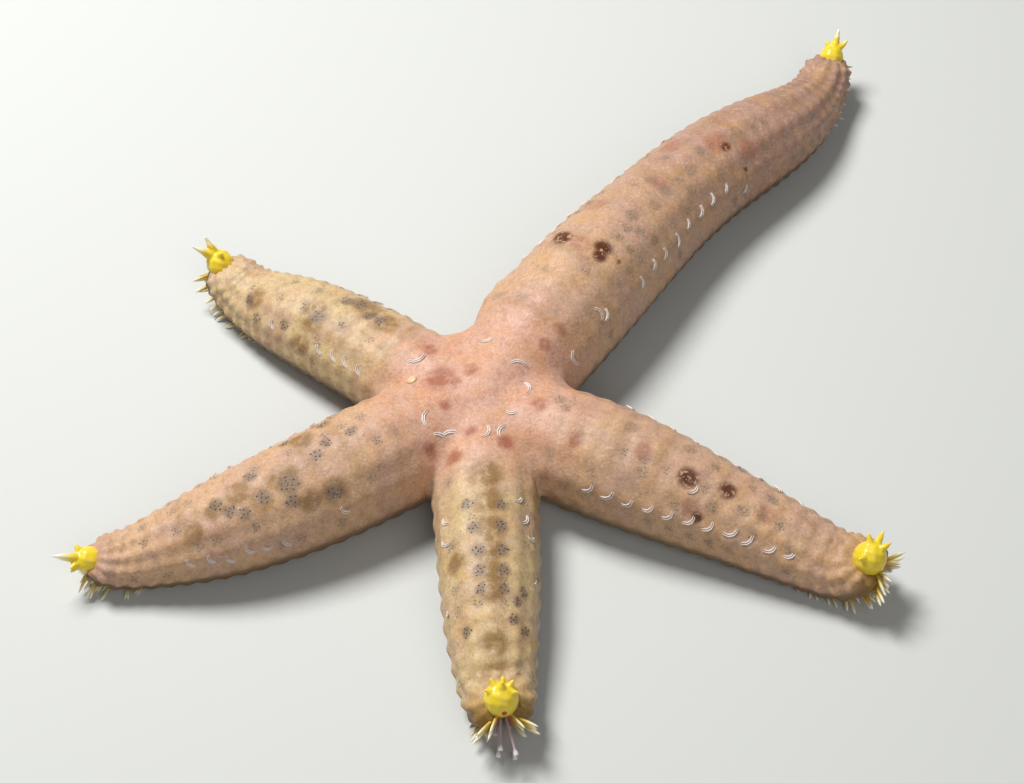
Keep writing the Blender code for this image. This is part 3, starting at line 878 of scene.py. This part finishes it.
def crescent_places():
    """Each crescent's arm, length along it, turn and swing of its bulge."""
    draw = np.random.default_rng(SEED)
    found = listed(LONE_CRESCENTS)
    for name, rows in CRESCENT_ROWS.items():
        for count, start, end, start_turn, end_turn in rows:
            steps = zip(np.linspace(start, end, count), np.linspace(start_turn, end_turn, count))
            for along, turn in steps:
                shift = draw.normal(0, ROW_UNEVENNESS)
                found.append((name, along + shift, turn + draw.normal(0, TURN_UNEVENNESS)))
    return [(*entry, math.radians(BULGE_SWING + draw.normal(0, SWING_UNEVENNESS))) for entry in found]


def from_above(x, y, surface):
    """The skin's point and normal over a place beside the disc's centre."""
    start = Vector((CENTRE[0] + x * MM, CENTRE[1] + y * MM, 0.1))
    point, normal = surface.ray_cast(start, Vector((0, 0, -1)))[:2]
    return np.array(point), np.array(normal)


def build_crescents(context):
    """Two-valved pedicellariae on the arms' sides and the disc."""
    growths = context.scene.sea_star_growths
    draw = np.random.default_rng(SEED)
    surface = skin_surface()
    places, bulges = [], []
    for name, along, degrees, swing in crescent_places():
        line = LINES[ARM_NUMBERS[name]]
        turn = np.array(math.radians(degrees))
        place = along * MM
        outward = line.outward(place, turn)
        down_side = np.cross(outward, line.read(line.forward, place)) * math.copysign(1, degrees)
        places.append(line.surface_point(place, turn))
        bulges.append(line.read(line.forward, place) * math.sin(swing) + down_side * math.cos(swing))
    places, normals = settle(places, surface)
    lengths = growths.crescent * draw.uniform(0.9, 1.1, len(places))
    for x, y in DISC_CRESCENTS:
        point, normal = from_above(x, y, surface)
        heading = draw.uniform(0, 2 * math.pi)
        places = np.vstack([places, point])
        normals = np.vstack([normals, normal])
        bulges.append(np.array([math.cos(heading), math.sin(heading), 0.0]))
        lengths = np.append(lengths, growths.crescent * draw.uniform(1.0, 1.45))
    bulges = np.array(bulges)
    bulges = unit(bulges - normals * (bulges * normals).sum(1)[:, None])
    chords = np.cross(normals, bulges)
    rod = [(0.3, -1.0), (0.8, -0.72), (1.0, -0.3), (1.0, 0.3), (0.8, 0.72), (0.3, 1.0)]
    pattern = pattern_of(turned("valve", rod, 6))
    parts = []
    for offset, share in zip(VALVE_OFFSETS, VALVE_SHARES):
        origins = places + bulges * offset + normals * VALVE_LIFT
        sizes = (VALVE_WIDTH, VALVE_WIDTH * 1.2, lengths * share / 2)
        bends = np.stack([-lengths * VALVE_SAG * share, np.full(len(places), -VALVE_DROOP)], 1)
        parts.append((origins, scaled((bulges, normals, chords), sizes), bends))
    white = tipped_material("calcite_valves", linear("#DDD0C8"), linear("#E6DBD4"), 0.0, 0.4, context)
    return copies("pedicellariae", pattern, parts, white)


FAINT = 0.35  # how dark the pores of a faint area are
LEAST_PORE_STRENGTH = 0.4
GOLDEN_ANGLE = 2.4  # radians, so that no two pores of a cluster lie in line


def build_pores(context):
    """Soft dark pores, through which the skin gills reach out, in clusters between the plates."""
    draw = np.random.default_rng(SEED + 3)
    tints = draw_table(len(LINES), 2, len(PORE_ROWS), PLATE_COUNT)
    places, darks = [], []
    clusters = [(*mark, 1.0) for mark in listed(PORE_AREAS)]
    clusters += [(*mark, FAINT) for mark in listed(FAINT_PORE_AREAS)]
    for number, line in enumerate(LINES):
        waves = plate_waves(line, line.along)
        first = plate_waves(line, 15 * MM)
        last = plate_waves(line, line.arm.length - 0.6 * line.arm.curl_length)
        for side in (0, 1):
            for index, row in enumerate(PORE_ROWS):
                for wave in range(math.ceil(first), int(last)):
                    strength = tints[number, side, index, min(wave, PLATE_COUNT - 1)] ** 2
                    along = np.interp(wave + 0.5, waves, line.along) / MM
                    degrees = row if side else -row
                    if strength > LEAST_PORE_STRENGTH:
                        clusters.append((line.name, along, degrees, 0.8, 0.5 * strength))
    for name, along, degrees, size, dark in clusters:
        line = LINES[ARM_NUMBERS[name]]
        count = int(3 + 5 * size * draw.uniform(0.6, 1.1))
        for step in range(count):
            angle = GOLDEN_ANGLE * step + draw.normal(0, 0.3)
            reach = size * math.sqrt((step + 0.3) / count) * 0.85 * MM
            spot = along * MM + reach * math.cos(angle)
            turn = math.radians(degrees) + reach * math.sin(angle) / line.read(line.radius, along * MM)
            places.append(line.surface_point(spot, np.array(turn)))
            darks.append(dark)
    places, normals = settle(places, skin_surface())
    count = len(places)
    x, y, z = side_axes(normals, np.repeat([[0.3, 1.0, 0.2]], count, 0))
    wide = (draw.uniform(0.1, 0.15, count) * MM)[:, None]
    dome = [(1.0, -0.6), (0.9, 0.25), (0.5, 0.7)]
    pattern = pattern_of(turned("pore", dome, 7))
    axes = scaled((x, y, z), (wide, wide, 0.07 * MM))
    # Thin gill tissue: darker than the skin around it and slightly moist.
    material, tree, shader = new_material("soft_pore_tissue")
    dark = add_node(tree, "ShaderNodeAttribute", {"attribute_name": "dark"}, {}).outputs["Fac"]
    colour = add_node(
        tree, "ShaderNodeMix", MIX, {0: dark, 6: opaque(linear("#A38A76")), 7: opaque(linear("#4F3C2A"))}
    ).outputs[2]
    tree.links.new(colour, shader.inputs["Base Color"])
    shader.inputs["Roughness"].default_value = 0.5
    pores = copies("pores", pattern, [(places, axes, np.zeros((count, 2)))], material)
    add_attribute(pores, "dark", np.repeat(darks, len(pattern[0])))
    return pores


def build_madreporite(context):
    """The cream sieve plate that lets water in, a low button on the disc."""
    point, normal = from_above(*MADREPORITE, skin_surface())
    button = turned("madreporite", [(0.8, -0.5), (1.0, 0.1), (0.86, 0.34), (0.5, 0.46)], 20)
    turn = Vector(normal).to_track_quat("Z", "Y").to_matrix().to_4x4()
    button.data.transform(Matrix.Translation(Vector(point)) @ turn @ Matrix.Scale(0.75 * MM, 4))
    add_attribute(button, "height", np.zeros(len(button.data.vertices)))
    cream = linear("#E2C49A")
    button.data.materials.append(tipped_material("sieve_plate_calcite", cream, cream, 0.5, 0.45, context))
    button.data.shade_smooth()
    return button


def evenly(start, end, pitch):
    return np.arange(start + pitch / 2, end, pitch)


ORAL_OFFSETS = (-24, -14, -5, 5, 14, 24)  # degrees to either side of a jaw
ORAL_ROOT = (3.2 * MM, 1.5 * MM)  # from the mouth's middle, and above the floor
ORAL_TIP = (1.3 * MM, 0.5 * MM)
ORAL_LENGTH = 1.9 * MM
ORAL_RADIUS = 0.3 * MM


def oral_spines():
    """Roots and directions of the spines that point from the five jaws into the mouth."""
    headings = sorted(arm.headings[0] % 360 for arm in ARMS.values())
    roots, directions = [], []
    for first, second in zip(headings, headings[1:] + [headings[0] + 360]):
        for offset in ORAL_OFFSETS:
            angle = math.radians((first + second) / 2 + offset)
            outwards = np.array([math.cos(angle), math.sin(angle), 0.0])
            root = CENTRE + outwards * ORAL_ROOT[0] + np.array([0, 0, ORAL_ROOT[1]])
            tip = CENTRE + outwards * ORAL_TIP[0] + np.array([0, 0, ORAL_TIP[1]])
            roots.append(root)
            directions.append(tip - root)
    return np.array(roots), unit(np.array(directions))


def build_furrow_spines(context):
    """Blunt spines in two series on both sides of every furrow, fanned out where the arm curls."""
    growths = context.scene.sea_star_growths
    draw = np.random.default_rng(SEED + 1)
    parts = []
    for line in LINES:
        for side in (-1, 1):
            for outer in (False, True):
                pitch = growths.furrow_pitch * (1.5 if outer else 1.0)
                curled = evenly(line.arm.length - line.arm.curl_length, line.arm.length, pitch)
                along = np.append(evenly(7 * MM, line.arm.length - 0.4 * MM, pitch), curled)
                count = len(along)
                radius = line.read(line.radius, along)
                floor = -radius * AXIS_HEIGHT
                curl_length = line.arm.curl_length
                begin = line.arm.length - (1.5 if outer else 1.0) * curl_length
                open_up = smooth_step(begin, line.arm.length - 0.4 * curl_length, along)
                root_side = (0.44 + 0.1 * open_up if outer else 0.3) * radius
                root_up = floor + np.where(outer, 0.2 * MM, 0.16 * radius)
                lying_side = root_side + (0.14 if outer else -0.2) * radius
                lying_up = floor + 0.3 * MM
                fanned_side = (1.0 if outer else 0.62) * radius
                fanned_up = floor - (0.3 if outer else 0.4) * radius
                tip_side = lying_side + (fanned_side - lying_side) * open_up
                tip_up = lying_up + (fanned_up - lying_up) * open_up
                start = line.section_point(along, side * root_side, root_up)
                sway = draw.normal(0, 0.25 * MM, count)
                end = line.section_point(along + 0.5 * MM + sway, side * tip_side, tip_up)
                direction = unit(end - start)
                length = growths.spine * draw.uniform(0.85, 1.12, count) * (1 + 0.55 * open_up)
                low = start[:, 2] + direction[:, 2] * length
                lift = np.maximum(0.28 * MM - low, 0)
                direction = unit(direction * length[:, None] + np.array([0, 0, 1]) * lift[:, None])
                upward = np.array([0.0, 0.0, 1.0]) + line.read(line.up, along)
                thick = (0.3 if outer else 0.26) * MM * (0.6 + 0.4 * radius / (7 * MM))
                axes = scaled(side_axes(direction, upward), (thick, thick, length))
                parts.append((start, axes, np.zeros((count, 2))))
    roots, directions = oral_spines()
    upward = np.repeat([[0.0, 0.0, 1.0]], len(roots), 0)
    axes = scaled(side_axes(directions, upward), (ORAL_RADIUS, ORAL_RADIUS, ORAL_LENGTH))
    parts.append((roots, axes, np.zeros((len(roots), 2))))
    bullet = [(0.55, -0.15), (0.85, 0.08), (1.0, 0.4), (0.92, 0.68), (0.62, 0.88), (0.2, 1.0)]
    pattern = pattern_of(turned("spine", bullet, 7))
    material = tipped_material(
        "furrow_spine_calcite", linear("#D8B84A"), linear("#F3EFDA"), 0.45, 0.38, context
    )
    return copies("furrow_spines", pattern, parts, material)


FOOT_REACH = {"front": 5.0 * MM, "left": 2.6 * MM}


def build_feet(context):
    """Two rows of tube feet in every furrow, some reaching out where the arm curls."""
    growths = context.scene.sea_star_growths
    draw = np.random.default_rng(SEED + 2)
    parts = []
    for line in LINES:
        for side in (-1, 1):
            along = evenly(6 * MM, line.arm.length - 1.2 * MM, growths.foot_pitch)
            count = len(along)
            radius = line.read(line.radius, along)
            floor = -radius * AXIS_HEIGHT
            start = line.section_point(along, side * 0.08 * radius, floor + 0.4 * radius)
            reach = smooth_step(math.radians(15), math.radians(40), line.curl_at(along))
            out = reach * draw.uniform(0.2, 1.0, count) * FOOT_REACH.get(line.name, 1.8 * MM)
            sway = draw.normal(0, 0.3 * MM, count)
            aside = side * (0.13 + 0.12 * reach) * radius
            end = line.section_point(along + sway, aside, floor + 0.05 * MM - out)
            end[:, 2] = np.maximum(end[:, 2], 0.1 * MM)
            direction = end - start
            length = np.linalg.norm(direction, axis=1)
            thick = 0.26 * MM * (0.5 + 0.5 * np.minimum(radius / (7 * MM), 1))
            ways = side_axes(direction, line.read(line.forward, along))
            parts.append((start, scaled(ways, (thick, thick, length)), np.zeros((count, 2))))
    foot = [(1.0, 0.0), (0.9, 0.3), (0.85, 0.6), (0.9, 0.84), (1.5, 0.9), (1.7, 0.96), (1.4, 1.0)]
    pattern = pattern_of(turned("foot", foot, 8))
    material = tipped_material(
        "tube_foot_tissue", linear("#B7A3AE"), linear("#F2EEF0"), 0.82, 0.3, context, subsurface=0.5
    )
    return copies("tube_feet", pattern, parts, material)


# Terminal plates


# Each spine of a terminal plate, as in the solids: its lean from the arm's direction, the turn
# of that lean from the arm's top, and how far it stands out, in millimetres.
CROWNS = {
    "rear_left": ((32, 90, 3.0), (4, 0, 2.4), (65, 0, 0.8)),
    "rear_right": ((4, 0, 2.4), (36, -90, 1.6), (45, 80, 0.9)),
    "right": ((75, 90, 2.0), (55, 45, 1.1), (50, 130, 1.3), (70, -60, 1.0)),
    "front": ((62, 100, 0.6), (60, 55, 0.7), (55, 15, 0.7), (58, -30, 0.8), (60, -75, 0.7), (20, 20, 0.6)),
    "left": ((12, 90, 3.3), (48, 100, 1.2), (62, 125, 1.0), (45, -60, 0.8)),
}
CROWN_FOOT = 0.8  # of the plate's radius, where a spine's own length begins
CROWN_RADIUS = 0.62 * MM
CROWN_MIDDLE = 0.45  # how far forward the spines meet, in radii
PLATE_BULGE = 1.1
LUMP_WAVES = ((3.1, 1.7, 2.3), (-1.9, 2.9, 1.3))  # two slanting waves, a radian each millimetre
LUMP_RISE = 0.05 * MM
PLATE_FORWARD = 0.25  # how far the plate stands forward of the arm's end, in radii


def end_axes(line):
    """The arm's end: its centre, radius and its left, upward and forward directions."""
    end = np.array([line.arm.length])
    directions = [line.read(values, end)[0] for values in (line.left, line.up, line.forward)]
    return line.read(line.centre, end)[0], float(line.read(line.radius, line.arm.length)), directions


def build_terminal(line, material):
    """A swollen plate with its spines, melted into one smooth shape."""
    centre, radius, (left, up, forward) = end_axes(line)
    centre = centre + forward * radius * PLATE_FORWARD
    deselect()
    bpy.ops.mesh.primitive_uv_sphere_add(segments=32, ring_count=20, radius=1)
    ball = bpy.context.object
    axes = Matrix([left, up, forward]).transposed().to_4x4()
    size = Matrix.Diagonal((radius, radius, radius * PLATE_BULGE, 1))
    ball.matrix_world = Matrix.Translation(Vector(centre)) @ axes @ size
    bpy.ops.object.transform_apply(location=True, rotation=True, scale=True)
    middle = centre + forward * radius * CROWN_MIDDLE
    parts = []
    for lean_degrees, turn_degrees, length in CROWNS[line.name]:
        lean = math.radians(lean_degrees)
        turn = math.radians(turn_degrees)
        outward = left * math.sin(turn) + up * math.cos(turn)
        direction = forward * math.cos(lean) + outward * math.sin(lean)
        size = radius * CROWN_FOOT + length * MM
        ways = side_axes(direction[None], forward[None] + 0.01 * left)
        parts.append((middle[None], scaled(ways, (CROWN_RADIUS, CROWN_RADIUS, size)), np.zeros((1, 2))))
    cone = [(1.25, 0.0), (1.15, 0.35), (0.8, 0.62), (0.45, 0.85), (0.2, 1.0)]
    pattern = pattern_of(turned("cone", cone, 12))
    spines = copies("cones", pattern, parts, None)
    plate = join([ball, spines])
    plate.name = f"terminal_plate_{line.name}"
    apply_modifier(plate, "REMESH", mode="VOXEL", voxel_size=0.12 * MM)
    points = points_of(plate)
    points = relaxed(plate, points, np.full(len(points), 0.5), 3)
    first_wave, second_wave = np.sin(points @ np.array(LUMP_WAVES).T / MM).T
    set_points(plate, points)
    points = points + normals_of(plate) * (LUMP_RISE * first_wave * second_wave)[:, None]
    set_points(plate, points)
    outside = np.linalg.norm(points - centre, axis=1) / radius - 1.25
    add_attribute(plate, "height", np.clip(outside * radius / (2.4 * MM), 0, 1))
    add_attribute(plate, "rear", np.clip(0.3 - (points - centre) @ forward / radius, 0, 1))
    plate.data.materials.clear()
    plate.data.materials.append(material)
    plate.data.shade_smooth()
    return plate


def build_eyes(context):
    """An orange-red eye spot in a pad of soft tissue under each terminal plate."""
    pieces = []
    for line in LINES:
        centre, radius, (_, up, forward) = end_axes(line)
        middle = centre + (forward * 0.45 - up * 0.93) * radius
        pad = turned("eye", [(0.75, -0.5), (1.0, 0.0), (0.8, 0.45), (0.35, 0.7)], 16)
        turn = Vector(forward * 0.6 - up).to_track_quat("Z", "Y").to_matrix().to_4x4()
        pad.data.transform(Matrix.Translation(Vector(middle)) @ turn @ Matrix.Scale(0.17 * radius, 4))
        pieces.append(pad)
    eyes = join(pieces)
    eyes.name = "eye_spots"
    add_attribute(eyes, "height", np.zeros(len(eyes.data.vertices)))
    red = linear("#B8562A")
    eyes.data.materials.append(tipped_material("eye_pigment_tissue", red, red, 0.5, 0.35, context))
    eyes.data.shade_smooth()
    return eyes


# The mouth's dome: shares of its radius, and heights in millimetres.
MOUTH_PROFILE = ((0.35, 0.0), (0.9, 0.4), (1.0, 1.2), (0.8, 2.4), (0.4, 2.9))
MOUTH_FLOOR = 0.8 * MM


def build_mouth(context):
    """The soft roof of the mouth inside its ring."""
    low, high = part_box("mouth")
    radius = (high.x - low.x) / 2
    dome = [(radius * share, height * MM) for share, height in MOUTH_PROFILE]
    mouth = turned("mouth_roof", dome, 24)
    mouth.data.transform(Matrix.Translation((CENTRE[0], CENTRE[1], MOUTH_FLOOR)))
    add_attribute(mouth, "height", np.zeros(len(mouth.data.vertices)))
    mouth.data.materials.append(
        tipped_material("mouth_membrane_tissue", linear("#9A5C36"), linear("#9A5C36"), 0.5, 0.4, context)
    )
    mouth.data.shade_smooth()
    return mouth


# Operators


class SEASTAR_OT_skin(bpy.types.Operator):
    """Models the disc and all arms as one skin, with its plates, markings and painted shade"""

    bl_idname = "sea_star.skin"
    bl_label = "Skin"

    def execute(self, context):
        skin = build_skin(context)
        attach(skin, "root")
        arm_nodes = [f"arm_{name}_{part}" for name in ARMS for part in ("base", "middle", "end")]
        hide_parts("disc", *arm_nodes)
        return {"FINISHED"}


class SEASTAR_OT_terminals(bpy.types.Operator):
    """Models the swollen plate with its spines at each arm's end"""

    bl_idname = "sea_star.terminals"
    bl_label = "Terminal plates"

    def execute(self, context):
        yellow = context.scene.sea_star_colours.yellow
        material = tipped_material("terminal_plate_calcite", yellow, linear("#F6F4E4"), 0.25, 0.28, context)
        for line in LINES:
            plate = build_terminal(line, material)
            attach(plate, "root")
            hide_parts(f"terminal_{line.name}")
        return {"FINISHED"}


class SEASTAR_OT_pedicellariae(bpy.types.Operator):
    """Sets the crescent pedicellariae on the skin"""

    bl_idname = "sea_star.pedicellariae"
    bl_label = "Pedicellariae"

    def execute(self, context):
        piece = build_crescents(context)
        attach(piece, "root")
        return {"FINISHED"}


class SEASTAR_OT_pores(bpy.types.Operator):
    """Sets the clusters of pores between the plates"""

    bl_idname = "sea_star.pores"
    bl_label = "Pores"

    def execute(self, context):
        piece = build_pores(context)
        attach(piece, "root")
        return {"FINISHED"}


class SEASTAR_OT_disc_plate(bpy.types.Operator):
    """Sets the sieve plate on the disc"""

    bl_idname = "sea_star.disc_plate"
    bl_label = "Sieve plate"

    def execute(self, context):
        piece = build_madreporite(context)
        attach(piece, "root")
        return {"FINISHED"}


class SEASTAR_OT_eyes(bpy.types.Operator):
    """Sets the eye spot at each arm's end"""

    bl_idname = "sea_star.eyes"
    bl_label = "Eye spots"

    def execute(self, context):
        piece = build_eyes(context)
        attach(piece, "root")
        return {"FINISHED"}


class SEASTAR_OT_furrow_spines(bpy.types.Operator):
    """Sets the blunt spines along every furrow"""

    bl_idname = "sea_star.furrow_spines"
    bl_label = "Furrow spines"

    def execute(self, context):
        piece = build_furrow_spines(context)
        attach(piece, "root")
        return {"FINISHED"}


class SEASTAR_OT_feet(bpy.types.Operator):
    """Sets the tube feet in every furrow"""

    bl_idname = "sea_star.feet"
    bl_label = "Tube feet"

    def execute(self, context):
        piece = build_feet(context)
        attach(piece, "root")
        return {"FINISHED"}


class SEASTAR_OT_mouth(bpy.types.Operator):
    """Models the mouth under the disc"""

    bl_idname = "sea_star.mouth"
    bl_label = "Mouth"

    def execute(self, context):
        piece = build_mouth(context)
        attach(piece, "root")
        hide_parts("mouth")
        return {"FINISHED"}


# Each light's name, place in metres, width in metres and power in watts.
LIGHTS = (
    ("key", (-0.19, 0.17, 0.45), 0.2, 3.5),
    ("fill", (0.16, -0.42, 0.42), 0.5, 0.85),
)
ROOM_STRENGTH = 0.17
FLOOR_SIZE = 3.0
PICTURE_WIDTH, PICTURE_HEIGHT = 1024, 783
CAMERA_ELEVATION = math.radians(52)
CAMERA_LENS = 70
SENSOR_WIDTH = 36
PIXEL_SIZE = 0.14 * MM  # at the disc
DISC_PIXEL = (481, 410)  # where the middle of the disc lies in the picture
DISC_MIDDLE_HEIGHT = 7 * MM


class SEASTAR_OT_stage(bpy.types.Operator):
    """Lays the pale floor, hangs the soft lights and sets the camera"""

    bl_idname = "sea_star.stage"
    bl_label = "Stage"

    def execute(self, context):
        self.lay_floor()
        for name, place, size, power in LIGHTS:
            self.hang_light(name, place, size, power)
        self.set_world(context)
        self.set_camera(context)
        return {"FINISHED"}

    def lay_floor(self):
        deselect()
        bpy.ops.mesh.primitive_plane_add(size=FLOOR_SIZE)
        floor = bpy.context.object
        floor.name = "floor"
        # Matt board: pale and without gloss, so that only soft shadows show on it.
        material, _, shader = new_material("matt_pale_board")
        shader.inputs["Base Color"].default_value = opaque(linear("#C9CAC6"))
        shader.inputs["Roughness"].default_value = 0.9
        floor.data.materials.append(material)

    def hang_light(self, name, place, size, power):
        data = bpy.data.lights.new(name, "AREA")
        data.shape = "DISK"
        data.size = size
        data.energy = power
        lamp = bpy.data.objects.new(name, data)
        lamp.location = place
        lamp.rotation_euler = Vector(place).to_track_quat("Z", "Y").to_euler()
        bpy.context.scene.collection.objects.link(lamp)

    def set_world(self, context):
        world = bpy.data.worlds.new("soft_room")
        context.scene.world = world
        world.use_nodes = True
        background = world.node_tree.nodes["Background"]
        background.inputs["Color"].default_value = opaque(linear("#E4E8EC"))
        background.inputs["Strength"].default_value = ROOM_STRENGTH
        context.scene.view_settings.view_transform = "Standard"

    def set_camera(self, context):
        focal = CAMERA_LENS / SENSOR_WIDTH * PICTURE_WIDTH
        depth = PIXEL_SIZE * focal
        back = Vector((0, -math.cos(CAMERA_ELEVATION), math.sin(CAMERA_ELEVATION)))
        up = Vector((0, math.sin(CAMERA_ELEVATION), math.cos(CAMERA_ELEVATION)))
        to_right = (DISC_PIXEL[0] - PICTURE_WIDTH / 2) * PIXEL_SIZE
        upward = (PICTURE_HEIGHT / 2 - DISC_PIXEL[1]) * PIXEL_SIZE
        aim = Vector(CENTRE) + Vector((0, 0, DISC_MIDDLE_HEIGHT))
        camera = bpy.data.objects.new("camera", bpy.data.cameras.new("camera"))
        camera.location = aim + back * depth - Vector((1, 0, 0)) * to_right - up * upward
        camera.rotation_euler = back.to_track_quat("Z", "Y").to_euler()
        camera.data.lens = CAMERA_LENS
        camera.data.sensor_width = SENSOR_WIDTH
        camera.data.clip_start = 0.001
        context.scene.collection.objects.link(camera)
        context.scene.camera = camera


OPERATORS = (
    SEASTAR_OT_skin,
    SEASTAR_OT_terminals,
    SEASTAR_OT_pedicellariae,
    SEASTAR_OT_pores,
    SEASTAR_OT_disc_plate,
    SEASTAR_OT_eyes,
    SEASTAR_OT_furrow_spines,
    SEASTAR_OT_feet,
    SEASTAR_OT_mouth,
    SEASTAR_OT_stage,
)


class SEASTAR_PT_panel(bpy.types.Panel):
    bl_idname = "SEASTAR_PT_panel"
    bl_label = "Sea star"
    bl_space_type = "VIEW_3D"
    bl_region_type = "UI"
    bl_category = "Sea star"

    def draw(self, context):
        for group in (getattr(context.scene, name) for name in GROUPS):
            box = self.layout.box()
            for name in group.bl_rna.properties.keys():
                if name not in ("rna_type", "name"):
                    box.prop(group, name)
        for operator in OPERATORS:
            self.layout.operator(operator.bl_idname)


GROUPS = {
    "sea_star_body": SeaStarBody,
    "sea_star_growths": SeaStarGrowths,
    "sea_star_colours": SeaStarColours,
}


def register():
    for name, group in GROUPS.items():
        bpy.utils.register_class(group)
        setattr(bpy.types.Scene, name, PointerProperty(type=group))
    for entry in (*OPERATORS, SEASTAR_PT_panel):
        bpy.utils.register_class(entry)


def unregister():
    for entry in (SEASTAR_PT_panel, *reversed(OPERATORS)):
        bpy.utils.unregister_class(entry)
    for name, group in GROUPS.items():
        delattr(bpy.types.Scene, name)
        bpy.utils.unregister_class(group)


def main():
    register()
    bpy.ops.sea_star.skin()
    bpy.ops.sea_star.terminals()
    bpy.ops.sea_star.pedicellariae()
    bpy.ops.sea_star.pores()
    bpy.ops.sea_star.disc_plate()
    bpy.ops.sea_star.eyes()
    bpy.ops.sea_star.furrow_spines()
    bpy.ops.sea_star.feet()
    bpy.ops.sea_star.mouth()
    bpy.ops.sea_star.stage()


if __name__ == "__main__":
    main()
